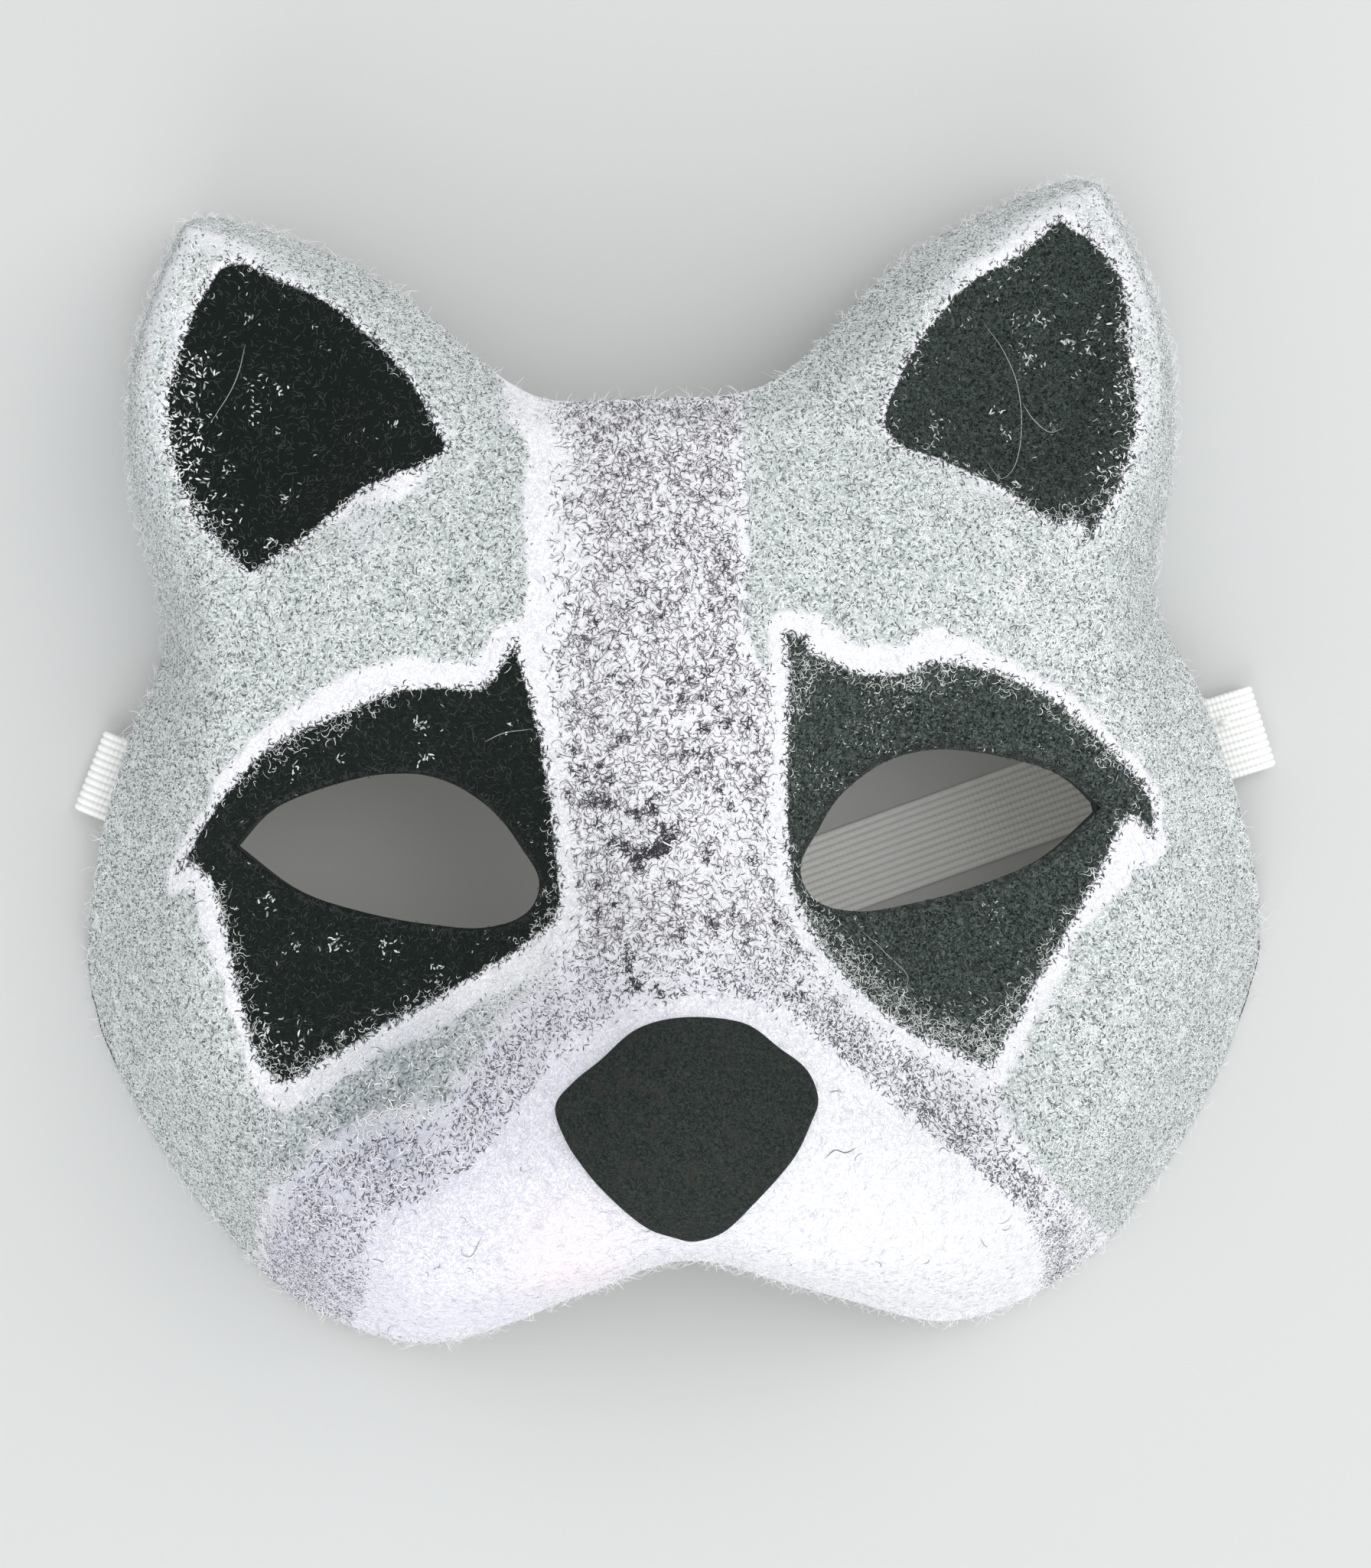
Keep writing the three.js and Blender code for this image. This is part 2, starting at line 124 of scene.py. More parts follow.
right_rows = np.array([row[1:] for row in OUTLINE], float)
left_rows = right_rows[1:-1][::-1] * (-1, 1, 1, 1)
edge_curve = closed_curve(np.concatenate([right_rows, left_rows]), EDGE_STEPS)
print("edge of the mask:", len(edge_curve), "points")

# %% [markdown]
# The second table gives the height of the face at levels from the jowls up to the ears, in columns from
# the ridge of the nose out to the side. A smooth curve runs through both directions.

# %% Height of the face
COLUMN_X = np.array([0, 14, 28, 44, 60, 76, 92], float)
LEVELS = np.array([
    # y, then the ridge, flank, inner, middle, outer, side and edge columns
    (-88, 38, 43, 43, 40, 34, 24, 16),
    (-72, 53, 56, 54, 49, 42, 32, 22),
    (-58, 66, 63, 57, 50, 43, 35, 25),
    (-44, 68, 61, 52, 45, 40, 35, 27),
    (-30, 59, 52, 43, 39, 37, 34, 27),
    (-16, 52, 46, 37, 36, 35, 32, 25),
    (-4, 50, 46, 38, 36, 35, 31, 23),
    (14, 50, 47, 44, 42, 38, 32, 23),
    (32, 47, 45, 43, 41, 38, 33, 25),
    (48, 41, 39, 38, 38, 38, 35, 28),
    (62, 34, 33, 33, 35, 37, 35, 28),
    (76, 28, 28, 29, 32, 34, 33, 28),
    (92, 24, 24, 25, 27, 30, 30, 27),
], float)
EAR_DISH = {"depth": 4.5, "x": 56, "y": 55, "along": 27, "across": 18, "lean": 65, "bowl": 1.6}


def smooth_through(places, values, at):
    """Smooth curve through values at uneven places, read at many points. Values have a row for each place."""
    last = len(places) - 1
    low = np.maximum(np.arange(last + 1) - 1, 0)
    high = np.minimum(np.arange(last + 1) + 1, last)
    slopes = (values[high] - values[low]) / (places[high] - places[low])[:, None]
    k = np.clip(np.searchsorted(places, at) - 1, 0, last - 1)
    column = np.arange(len(at)) if values.shape[1] > 1 else 0
    gap = places[k + 1] - places[k]
    t = np.clip((at - places[k]) / gap, 0, 1)
    start, end = slopes[k, column] * gap, slopes[k + 1, column] * gap
    rise = values[k + 1, column] - values[k, column]
    bend = 3 * rise - 2 * start - end + t * (start + end - 2 * rise)
    return values[k, column] + t * (start + t * bend)


def front_height(x, y):
    """Height of the face before its edge is rolled back."""
    across = np.stack([smooth_through(LEVELS[:, 0], LEVELS[:, c, None], y) for c in range(1, 8)])
    both_sides = np.concatenate([[-COLUMN_X[1]], COLUMN_X])
    height = smooth_through(both_sides, np.concatenate([across[1:2], across]), np.abs(x))
    lean = math.radians(EAR_DISH["lean"])
    dx, dy = np.abs(x) - EAR_DISH["x"], y - EAR_DISH["y"]
    along = (dx * math.cos(lean) + dy * math.sin(lean)) / EAR_DISH["along"]
    sideways = (dx * math.sin(lean) - dy * math.cos(lean)) / EAR_DISH["across"]
    dish = np.maximum(0, 1 - along**2 - sideways**2) ** 2
    return height - EAR_DISH["depth"] * np.minimum(1, EAR_DISH["bowl"] * dish)


print("nose ridge", front_height(np.array([0.0]), np.array([-44.0]))[0], "mm over the floor")

# %% [markdown]
# Near the edge the face rolls back to the rim. That takes the distance from each point to the edge, so a
# helper measures how far inside a closed curve a point lies. The same helper later finds the paint's zones.
# Thousands of points ask for the height, so it is worked out once on a half-millimetre grid and read from it.


# %% Rolled edge and a height grid
BATCH = 8000
TINY = 1e-12
ROLL_BEYOND = 0.5


def inside_of(curve, x, y):
    """How far inside a closed curve each point lies, negative outside, and the nearest place on the curve."""
    ax, ay = curve[:, 0], curve[:, 1]
    run_x, run_y = np.roll(ax, -1) - ax, np.roll(ay, -1) - ay
    squared = run_x**2 + run_y**2
    slope = run_x / np.where(run_y == 0, TINY, run_y)
    inside, place = np.empty(len(x)), np.empty(len(x))
    for part in np.array_split(np.arange(len(x)), len(x) // BATCH + 1):
        dx, dy = x[part, None] - ax, y[part, None] - ay
        t = np.clip((dx * run_x + dy * run_y) / squared, 0, 1)
        gap = np.hypot(dx - t * run_x, dy - t * run_y)
        nearest = gap.argmin(axis=1)
        row = np.arange(len(part))
        crosses = ((dy < 0) != (dy < run_y)) & (dx < dy * slope)
        sign = np.where(crosses.sum(axis=1) % 2, 1, -1)
        inside[part] = sign * gap[row, nearest]
        place[part] = nearest + t[row, nearest]
    return inside, place


def felt_height(x, y):
    """Height of the outer face of the felt, and how far inside the edge each point lies."""
    inside, place = inside_of(edge_curve, x, y)
    around = np.arange(len(edge_curve) + 1)
    rim, roll = (np.interp(place, around, np.append(edge_curve[:, c], edge_curve[0, c])) for c in (2, 3))
    turned = np.sin(np.pi / 2 * np.clip(inside / roll, -ROLL_BEYOND, 1))
    return rim + (front_height(x, y) - rim) * turned, inside


GRID_STEP = 0.5
GRID_REACH = (104, 98)
grid_x, grid_y = (np.arange(-reach, reach + GRID_STEP / 2, GRID_STEP) for reach in GRID_REACH)
mesh_x, mesh_y = np.meshgrid(grid_x, grid_y)
flat_grids = felt_height(mesh_x.ravel(), mesh_y.ravel())
height_grid, inside_grid = (flat.reshape(mesh_x.shape) for flat in flat_grids)
print("height grid", height_grid.shape, f"highest {height_grid.max():.1f} mm")


# %% Read the surface anywhere
STAY_INSIDE = 1.001


def read_grid(grid, x, y):
    """Value of a grid between its points."""
    u = np.clip((x - grid_x[0]) / GRID_STEP, 0, len(grid_x) - STAY_INSIDE)
    v = np.clip((y - grid_y[0]) / GRID_STEP, 0, len(grid_y) - STAY_INSIDE)
    i, j = u.astype(int), v.astype(int)
    s, t = u - i, v - j
    low = grid[j, i] * (1 - s) + grid[j, i + 1] * s
    high = grid[j + 1, i] * (1 - s) + grid[j + 1, i + 1] * s
    return low * (1 - t) + high * t


def surface_normal(x, y, step=0.4):
    rise_x = read_grid(height_grid, x + step, y) - read_grid(height_grid, x - step, y)
    rise_y = read_grid(height_grid, x, y + step) - read_grid(height_grid, x, y - step)
    normal = np.stack([-rise_x, -rise_y, np.full(len(x), 2 * step)], axis=1)
    return normal / np.linalg.norm(normal, axis=1, keepdims=True)


def under_surface(x, y, depth):
    """Points at a depth under the felt's outer face, square to it. A negative depth lies on top."""
    on_top = np.stack([x, y, read_grid(height_grid, x, y)], axis=1)
    return on_top - surface_normal(x, y) * np.reshape(depth, (-1, 1))


print("brow point", under_surface(np.array([0.0]), np.array([30.0]), 0)[0].round(1))

# %% [markdown]
# ## Helpers for meshes and materials
# Meshes here are made from arrays, which is quick and exact. Materials are made from nodes, and small
# helpers keep that short: one adds a node and fills its inputs, others do sums, mix colours or read what
# the mesh stores. Every mesh rides on the mask and takes a material.


# %% Mesh and node helpers
def mesh_object(name, points, faces, material):
    """A smooth-shaded object from points in millimetres. It rides on the mask and takes a finish."""
    mesh = bpy.data.meshes.new(name)
    faces = faces if isinstance(faces, list) else faces.tolist()
    mesh.from_pydata((points * MM).tolist(), [], faces)
    mesh.shade_smooth()
    mesh.materials.append(material)
    piece = bpy.data.objects.new(name, mesh)
    bpy.context.scene.collection.objects.link(piece)
    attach(piece, "root")
    return piece


def set_attribute(piece, name, values):
    """Stores one number, or one colour, for each point of the mesh."""
    values = np.asarray(values, np.float32)
    kind, field = ("FLOAT", "value") if values.ndim == 1 else ("FLOAT_COLOR", "color")
    attribute = piece.data.attributes.new(name, kind, "POINT")
    attribute.data.foreach_set(field, values.ravel())


def add_node(tree, kind, inputs=(), **settings):
    node = tree.nodes.new(kind)
    for key, value in settings.items():
        setattr(node, key, value)
    for key, value in dict(inputs).items():
        if isinstance(value, bpy.types.NodeSocket):
            tree.links.new(value, node.inputs[key])
        else:
            node.inputs[key].default_value = value
    return node


def calculate(tree, operation, *values):
    return add_node(tree, "ShaderNodeMath", enumerate(values), operation=operation).outputs[0]


def mix_colours(tree, factor, first, second, blend="MIX"):
    inputs = {0: factor, 6: first, 7: second}
    return add_node(tree, "ShaderNodeMix", inputs, data_type="RGBA", blend_type=blend).outputs[2]


def ease(tree, value, low, high):
    """0 below low, 1 above high and a smooth step between."""
    inputs = {"Value": value, "From Min": low, "From Max": high}
    return add_node(tree, "ShaderNodeMapRange", inputs, interpolation_type="SMOOTHSTEP").outputs[0]


def read_attribute(tree, name, output="Fac"):
    return add_node(tree, "ShaderNodeAttribute", attribute_name=name).outputs[output]


def new_material(name, roughness):
    material = bpy.data.materials.new(name)
    material.use_nodes = True
    shader = material.node_tree.nodes["Principled BSDF"]
    shader.inputs["Roughness"].default_value = roughness
    return material, material.node_tree, shader


def colour(red, green, blue):
    """A colour as it looks, 0 to 255, turned into the light values that Blender works with."""
    shares = np.array([red, green, blue]) / 255
    light = np.where(shares <= 0.04045, shares / 12.92, ((shares + 0.055) / 1.055) ** 2.4)
    return (*light.tolist(), 1.0)


print("white felt as light:", [round(v, 2) for v in colour(248, 248, 251)])

# %% [markdown]
# ## Grain, a shared effect
# Felt, elastic and the moulded shell all have a fine irregular grain. It is built once as a node group: a
# fine noise for fibres, a wide one for lumps, and curled threads. The threads are the lines where a noise
# passes its middle value, which wind about as loose fibres do. Each material gives the group its own size.


# %% Node group for grain
def make_grain_group():
    group = bpy.data.node_groups.new("grain", "ShaderNodeTree")
    size_in = group.interface.new_socket("Size", in_out="INPUT", socket_type="NodeSocketFloat")
    size_in.default_value = 0.0005
    for name in ("Fibres", "Threads", "Lumps"):
        group.interface.new_socket(name, in_out="OUTPUT", socket_type="NodeSocketFloat")
    size = group.nodes.new("NodeGroupInput").outputs["Size"]
    where = add_node(group, "ShaderNodeTexCoord").outputs["Object"]
    per_metre = calculate(group, "DIVIDE", 1.0, size)
    outputs = group.nodes.new("NodeGroupOutput")

    def noise(share, detail, distortion):
        scale = calculate(group, "MULTIPLY", per_metre, share)
        inputs = {"Vector": where, "Scale": scale, "Detail": detail, "Distortion": distortion}
        return add_node(group, "ShaderNodeTexNoise", inputs).outputs["Fac"]

    fibres = noise(share=1.0, detail=3.0, distortion=1.4)
    group.links.new(fibres, outputs.inputs["Fibres"])
    winding = noise(share=0.55, detail=1.0, distortion=1.2)
    from_middle = calculate(group, "ABSOLUTE", calculate(group, "SUBTRACT", winding, 0.5))
    group.links.new(ease(group, from_middle, 0.045, 0.0), outputs.inputs["Threads"])
    lumps = noise(share=0.14, detail=2.0, distortion=0.0)
    group.links.new(lumps, outputs.inputs["Lumps"])
    return group


grain_group = make_grain_group()


def add_grain(tree, size):
    return add_node(tree, "ShaderNodeGroup", {"Size": size}, node_tree=grain_group).outputs


def add_bump(tree, shader, height, strength, distance):
    inputs = {"Height": height, "Strength": strength, "Distance": distance}
    tree.links.new(add_node(tree, "ShaderNodeBump", inputs).outputs[0], shader.inputs["Normal"])


print("grain group outputs:", [s.name for s in grain_group.interface.items_tree if s.in_out == "OUTPUT"])

# %% [markdown]
# ## The strap
# A woven elastic, 13.5 mm wide, is glued inside each temple. It comes out under the rim, folds back over
# itself as a small tab, and lies on the floor under the mask, where it shows through the right eye. A
# curve with a bevel would twist at the folds, so the strap is lofted: stations along the route, each with
# its middle and the way across. The stations repeat those of the CAD solid. The glued ends lie under all
# layers of the wall: felt, glue, shell and the strap's own glue.

# %% Stations of the strap
FELT, GLUE_LINE, SHELL, STRAP_GLUE = 1.2, 0.3, 1.6, 0.6
STRAP_WIDTH, STRAP_THICKNESS, STRAP_FOLD = 13.5, 1.0, 1.5
FLOOR_GAP = 0.1
STRAP_FLOOR = FLOOR_GAP + STRAP_THICKNESS / 2
STRAP_TOP = STRAP_FLOOR + 2 * STRAP_FOLD
STRAP_DEPTH = FELT + GLUE_LINE + SHELL + STRAP_GLUE + STRAP_THICKNESS / 2
STRAP_GLUED = [20, 16.5, 13, 10, 7.5]
STRAP_LEAVES, STRAP_LEAVES_RISE = 5, 0.9
LEFT_TAB, RIGHT_TAB = (-92.5, 3.6, 156), (95.9, 2.4, 15)
FOLD_STEPS = 7
RIM_SEARCH = np.arange(-40, 40, 0.25)
STRAP_ROUTE = np.array([
    (-87, 1.2), (-83.6, -0.9), (-80.6, -4.2), (-78, -8.7), (-75.2, -13.7), (-71.6, -19.2), (-66.8, -24.6),
    (-60, -29.6), (-50, -34), (-38, -36.4), (-26, -35.6), (-14, -31.6), (2, -26.3), (24, -19.2),
    (46, -12.3), (68, -5.6), (88, 0.2),
])


def strap_end(x, y, heading):
    """One end, from its glued tip down the wall, out under the rim and round the fold to the floor. The tab
    ends at x and y and points along the heading, in degrees."""
    turn = math.radians(heading)
    out = np.array([math.cos(turn), math.sin(turn), 0])
    across = np.array([-out[1], out[0], 0])
    fold = np.array([x, y, STRAP_FLOOR]) - out * (STRAP_FOLD + STRAP_THICKNESS / 2)
    inside, _ = inside_of(edge_curve, fold[0] + out[0] * RIM_SEARCH, fold[1] + out[1] * RIM_SEARCH)
    rim = RIM_SEARCH[np.argmax(inside <= 0)]
    stations = []
    for inward in STRAP_GLUED:
        place = (fold + out * (rim - inward))[:2, None]
        flat = np.cross(surface_normal(*place)[0], out)
        flat *= np.sign(flat @ across) / np.linalg.norm(flat)
        stations.append((under_surface(*place, STRAP_DEPTH)[0], flat))
    leaves = fold + out * (rim - STRAP_LEAVES)
    leaves[2] = STRAP_TOP + STRAP_LEAVES_RISE
    stations.append((leaves, across))
    for bend in np.linspace(np.pi / 2, -np.pi / 2, FOLD_STEPS):
        middle = fold + out * STRAP_FOLD * math.cos(bend)
        middle[2] = STRAP_FLOOR + STRAP_FOLD * (1 + math.sin(bend))
        stations.append((middle, across))
    return stations


laid_middle = np.column_stack([STRAP_ROUTE, np.full(len(STRAP_ROUTE), STRAP_FLOOR)])
laid_along = np.gradient(STRAP_ROUTE, axis=0)
laid_across = np.column_stack([laid_along[:, 1], -laid_along[:, 0], np.zeros(len(STRAP_ROUTE))])
right_end = [(middle, -across) for middle, across in strap_end(*RIGHT_TAB)[::-1]]
stations = strap_end(*LEFT_TAB) + list(zip(laid_middle, laid_across)) + right_end
print("strap stations:", len(stations))


# %% Smooth path through the stations
CURVE_STEPS = 24
STRAP_SPACING = 1.0


def smooth_path(points, spacing):
    """Even points on a curve through the given ones, and how far along the given ones each lies."""
    points = np.asarray(points)
    ends = np.concatenate([[2 * points[0] - points[1]], points, [2 * points[-1] - points[-2]]])
    knots = np.concatenate([[0], np.cumsum(np.linalg.norm(np.diff(ends, axis=0), axis=1) ** 0.5)])
    fine, place = [], []
    for i in range(1, len(ends) - 2):
        t0, t1, t2, t3 = knots[i - 1 : i + 3]
        p0, p1, p2, p3 = ends[i - 1 : i + 3]
        t = np.linspace(t1, t2, CURVE_STEPS, endpoint=False)[:, None]
        a = p0 + (p1 - p0) * (t - t0) / (t1 - t0)
        b = p1 + (p2 - p1) * (t - t1) / (t2 - t1)
        c = p2 + (p3 - p2) * (t - t2) / (t3 - t2)
        d = a + (b - a) * (t - t0) / (t2 - t0)
        e = b + (c - b) * (t - t1) / (t3 - t1)
        fine.append(d + (e - d) * (t - t1) / (t2 - t1))
        place.append(i - 1 + (t[:, 0] - t1) / (t2 - t1))
    fine, place = np.concatenate(fine + [points[-1:]]), np.append(np.concatenate(place), len(points) - 1)
    along = np.concatenate([[0], np.cumsum(np.linalg.norm(np.diff(fine, axis=0), axis=1))])
    even = np.linspace(0, along[-1], int(along[-1] / spacing) + 1)
    path = np.stack([np.interp(even, along, fine[:, c]) for c in range(3)], axis=1)
    return path, np.interp(even, along, place), even


strap_path, strap_place, strap_along = smooth_path([middle for middle, _ in stations], STRAP_SPACING)
strap_path[:, 2] = np.maximum(strap_path[:, 2], STRAP_FLOOR)
station_across = np.array([across / np.linalg.norm(across) for _, across in stations])
strap_across = np.stack(
    [np.interp(strap_place, np.arange(len(stations)), station_across[:, c]) for c in range(3)], axis=1)
print(f"strap length {strap_along[-1]:.0f} mm")

# %% [markdown]
# The weave has a dozen ribs along the strap. They are real ridges in the cross-section, because they show
# through the eye. The fine knit between them is too small to model, so it is a bump in the material. Every
# point carries two numbers: how far along the strap it lies, which drives the knit, and how far across,
# which puts painted shade into the grooves between the ribs.

# %% Elastic material
KNIT_PITCH = 0.75
elastic, tree, shader = new_material("woven_elastic", roughness=0.75)
grain = add_grain(tree, size=0.0006)
knit_turn = calculate(tree, "MULTIPLY", read_attribute(tree, "along_mm"), 2 * math.pi / KNIT_PITCH)
rib_turn = calculate(tree, "MULTIPLY", read_attribute(tree, "rib"), 2 * math.pi)
# painted shade: the grooves between the ribs are coloured darker than the ribs
painted_groove_shade = ease(tree, calculate(tree, "COSINE", rib_turn), 0.2, -1.0)
thread = mix_colours(tree, grain["Fibres"], colour(246, 247, 245), colour(254, 254, 254))
tree.links.new(mix_colours(tree, painted_groove_shade, thread, colour(226, 227, 223)), shader.inputs["Base Color"])
fuzz = calculate(tree, "MULTIPLY", grain["Fibres"], 0.5)
relief = calculate(tree, "MULTIPLY_ADD", calculate(tree, "SINE", knit_turn), 0.3, fuzz)
add_bump(tree, shader, relief, strength=0.5, distance=0.0002)
shader.inputs["Sheen Weight"].default_value = 0.15
print("elastic nodes:", len(tree.nodes))

# %% Strap mesh
STRAP_RIBS = 12
RIB_POINTS = 6
GROOVE_SHARE, RIB_SHARE = 0.28, 0.22
SELVEDGE_SHARE = 0.45


def strap_section():
    """Outline of the strap's cross-section, closed, with ribs above and below, and each point's rib count."""
    u = np.linspace(0, 1, STRAP_RIBS * RIB_POINTS + 1)
    ribs = np.abs(np.sin(np.pi * STRAP_RIBS * u))
    edge = np.minimum(1, np.minimum(u, 1 - u) * 2 * STRAP_RIBS)
    thinner = SELVEDGE_SHARE + (1 - SELVEDGE_SHARE) * edge
    half = (GROOVE_SHARE + RIB_SHARE * ribs) * STRAP_THICKNESS * thinner
    side = (u - 0.5) * STRAP_WIDTH
    upper, lower = np.stack([side, half], axis=1), np.stack([side, -half], axis=1)[::-1]
    return np.concatenate([upper, lower]), np.concatenate([u, u[::-1]]) * STRAP_RIBS + 0.5


def loft(path, across, section):
    """Rows of the section along a path, joined by faces and closed by caps."""
    along = np.gradient(path, axis=0)
    along /= np.linalg.norm(along, axis=1, keepdims=True)
    side = across - along * (across * along).sum(axis=1, keepdims=True)
    side /= np.linalg.norm(side, axis=1, keepdims=True)
    up = np.cross(along, side)
    rows = path[:, None] + section[None, :, :1] * side[:, None] + section[None, :, 1:] * up[:, None]
    n = len(section)
    around = np.arange(n)
    quads = []
    for i in range(len(path) - 1):
        low, high = i * n + around, (i + 1) * n + around
        quads.append(np.stack([low, high, np.roll(high, -1), np.roll(low, -1)], axis=1))
    half = n // 2
    k = np.arange(half - 1)
    cap = np.stack([k, k + 1, n - 2 - k, n - 1 - k], axis=1)
    last = (len(path) - 1) * n
    return rows.reshape(-1, 3), np.concatenate(quads + [cap, cap[:, ::-1] + last])


section, rib_count = strap_section()
strap_points, strap_faces = loft(strap_path, strap_across, section)
strap = mesh_object("strap_webbing", strap_points, strap_faces, elastic)
set_attribute(strap, "along_mm", np.repeat(strap_along, len(section)))
set_attribute(strap, "rib", np.tile(rib_count, len(strap_path)))
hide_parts("strap")
print("strap faces:", len(strap_faces))

# %% [markdown]
# ## A plan for the layers
# Shell and felt are both walls with the same outline and the same eye holes. One plan serves them: points in
# the plane, close together at the edges, where the surface is steep, and on an even grid elsewhere. Delaunay
# triangulation joins them, and each layer lifts the plan to its own depth.

# %% Eye holes
EYE_HOLE = np.array([
    (64.8, -9.3), (60, -4.9), (50.5, -1.3), (40, 0.3), (32.5, -1.2), (26, -5.6), (22, -11), (19.3, -16.2),
    (21, -20.4), (27, -22.6), (36, -21.9), (46, -19.7), (56, -15.9),
])


def smooth_outline(rows, spacing):
    """Even points on a closed outline, smooth but for the corners, which are rows with a third value."""
    flat = [np.array([row[0], row[1], 0.0]) for row in rows]
    corners = [i for i, row in enumerate(rows) if len(row) > 2] or [0]
    outline = []
    for here, there in zip(corners, corners[1:] + [corners[0] + len(rows)]):
        stretch = [flat[i % len(rows)] for i in range(here, there + 1)]
        path, _, _ = smooth_path(stretch, spacing)
        outline.append(path[:-1, :2])
    return np.concatenate(outline)


EYE_SPACING = 0.8
eye_right = smooth_outline([(*EYE_HOLE[0], "corner"), *EYE_HOLE[1:]], EYE_SPACING)
eye_left = eye_right[::-1] * (-1, 1)
print("eye hole points:", len(eye_right))


# %% Plan of points and triangles
def evenly_round(curve, spacing):
    """The closed curve again, with even steps."""
    closed = np.concatenate([curve, curve[:1]])
    along = np.concatenate([[0], np.cumsum(np.linalg.norm(np.diff(closed, axis=0), axis=1))])
    even = np.linspace(0, along[-1], int(along[-1] / spacing), endpoint=False)
    return np.stack([np.interp(even, along, closed[:, c]) for c in range(2)], axis=1)


def shifted(curve, inward):
    """The closed curve moved to its left, which is inward when it runs counter-clockwise."""
    along = np.roll(curve, -1, axis=0) - np.roll(curve, 1, axis=0)
    along /= np.linalg.norm(along, axis=1, keepdims=True)
    return curve + np.stack([-along[:, 1], along[:, 0]], axis=1) * inward


FILL_REACH = (97, 92)
FILL_CLEAR = 0.6
SAME_POINT = 1e-7


def plan_inside(loops, fill, pitch, edge_steps):
    """Points in the plane, their triangles and the index loops. The first loop is the rim, the rest holes."""
    rim, *holes = loops

    def within(places, clear):
        keep = inside_of(rim, *places.T)[0] > clear
        for hole in holes:
            keep &= inside_of(hole, *places.T)[0] < -clear
        return keep

    rings = [shifted(loop, step) for step in edge_steps for loop in loops]
    fill = fill[within(fill, max(edge_steps) + pitch * FILL_CLEAR)]
    points = np.concatenate([*loops, *rings, fill])
    starts = np.cumsum([0] + [len(loop) for loop in loops])
    index_loops = [np.arange(start, end) for start, end in zip(starts, starts[1:])]
    edges = [pair for index in index_loops for pair in zip(index.tolist(), np.roll(index, -1).tolist())]
    made = delaunay_2d_cdt([Vector(p) for p in points.tolist()], edges, [], 0, SAME_POINT)
    flat = np.array([v[:] for v in made[0]])
    first = {source: new for new, sources in enumerate(made[3]) for source in sources}
    triangles = np.array([face[:3] for face in made[2]])
    triangles = triangles[within(flat[triangles].mean(axis=1), 0)]
    return flat, triangles, [np.array([first[i] for i in index.tolist()]) for index in index_loops]


def layer_plan(pitch, edge_steps):
    """Plan of a layer of the mask, filled by even rows, with every other row half a pitch aside."""
    loops = [evenly_round(curve, pitch) for curve in (edge_curve[:, :2], eye_right[::-1], eye_left[::-1])]
    columns = np.arange(-FILL_REACH[0], FILL_REACH[0], pitch)
    rows = np.arange(-FILL_REACH[1], FILL_REACH[1], pitch * math.sqrt(3) / 2)
    fill = [np.stack([columns + pitch / 2 * (i % 2), np.full(len(columns), y)], axis=1)
            for i, y in enumerate(rows)]
    return plan_inside(loops, np.concatenate(fill), pitch, edge_steps)


def wall_between(plan, outer, inner, floor):
    """A closed wall from its outer and inner points. Nothing of it goes under the floor height."""
    flat, triangles, loops = plan
    n = len(flat)
    points = np.concatenate([outer, inner])
    points[:, 2] = np.maximum(points[:, 2], floor)
    faces = [triangles, triangles[:, ::-1] + n]
    for loop in loops:
        following = np.roll(loop, -1)
        faces.append(np.stack([loop, loop + n, following + n], axis=1))
        faces.append(np.stack([loop, following + n, following], axis=1))
    return points, np.concatenate(faces)


FELT_PITCH, FELT_EDGE_ROWS = 0.9, [0.25, 0.55, 0.95, 1.45, 2.05]
fine_plan = layer_plan(FELT_PITCH, FELT_EDGE_ROWS)
print("felt plan:", len(fine_plan[0]), "points,", len(fine_plan[1]), "triangles")

# %% [markdown]
# ## The painted zones
# The maker painted the felt freehand, so left and right differ. Each zone is a short outline, read from the
# photo in millimetres. Rows that end in "corner" are sharp. From the outlines come soft amounts of each
# paint, and every point of the felt stores them, so the material knows how much paint lies there.

# %% Outlines of the paint
EYE_PATCHES = [
    [(18.5, 18, "corner"), (18.5, 9), (17.5, -10), (18.5, -20.5), (24.5, -31), (33.5, -39.5),
     (45, -45.5, "corner"), (55.5, -31), (61, -23), (68, -11, "corner"), (70, -10.5), (72.5, -14, "corner"),
     (72.5, -8.5), (66, -0.5), (57.5, 7), (48, 11.5), (41, 13), (35, 11.5), (28.5, 12), (22, 15, "corner"),
     (21, 17.5, "corner")],
    [(-21, 18.5, "corner"), (-23, 15), (-26, 12, "corner"), (-37, 12.5), (-48, 9), (-58, 5), (-65, -1),
     (-74, -12.5, "corner"), (-71.5, -11, "corner"), (-68, -15), (-65, -28), (-62, -39.5),
     (-58.5, -44.5, "corner"), (-45, -37.5), (-22, -25.5), (-16.5, -20.5), (-16.5, -12), (-18, 5)],
]
EAR_PATCHES = [
    [(62, 78.5, "corner"), (67, 75), (71, 68.5), (71.5, 60), (72, 48), (69, 38.5), (64, 30.5, "corner"),
     (62.5, 33.5, "corner"), (58, 33.5), (52, 38.5), (44, 42.5), (36, 46), (34.5, 49), (37, 55.5),
     (43, 64.5), (49.5, 70.5), (56, 73.5)],
    [(-63, 77, "corner"), (-60, 77.5), (-54, 74.5), (-48.5, 72), (-41, 65.5), (-35, 58), (-30, 48, "corner"),
     (-33, 46), (-43, 42.5), (-52, 35.5), (-60, 31, "corner"), (-65, 36), (-70.5, 46.5), (-71.5, 56),
     (-69, 66, "corner"), (-67, 71)],
]
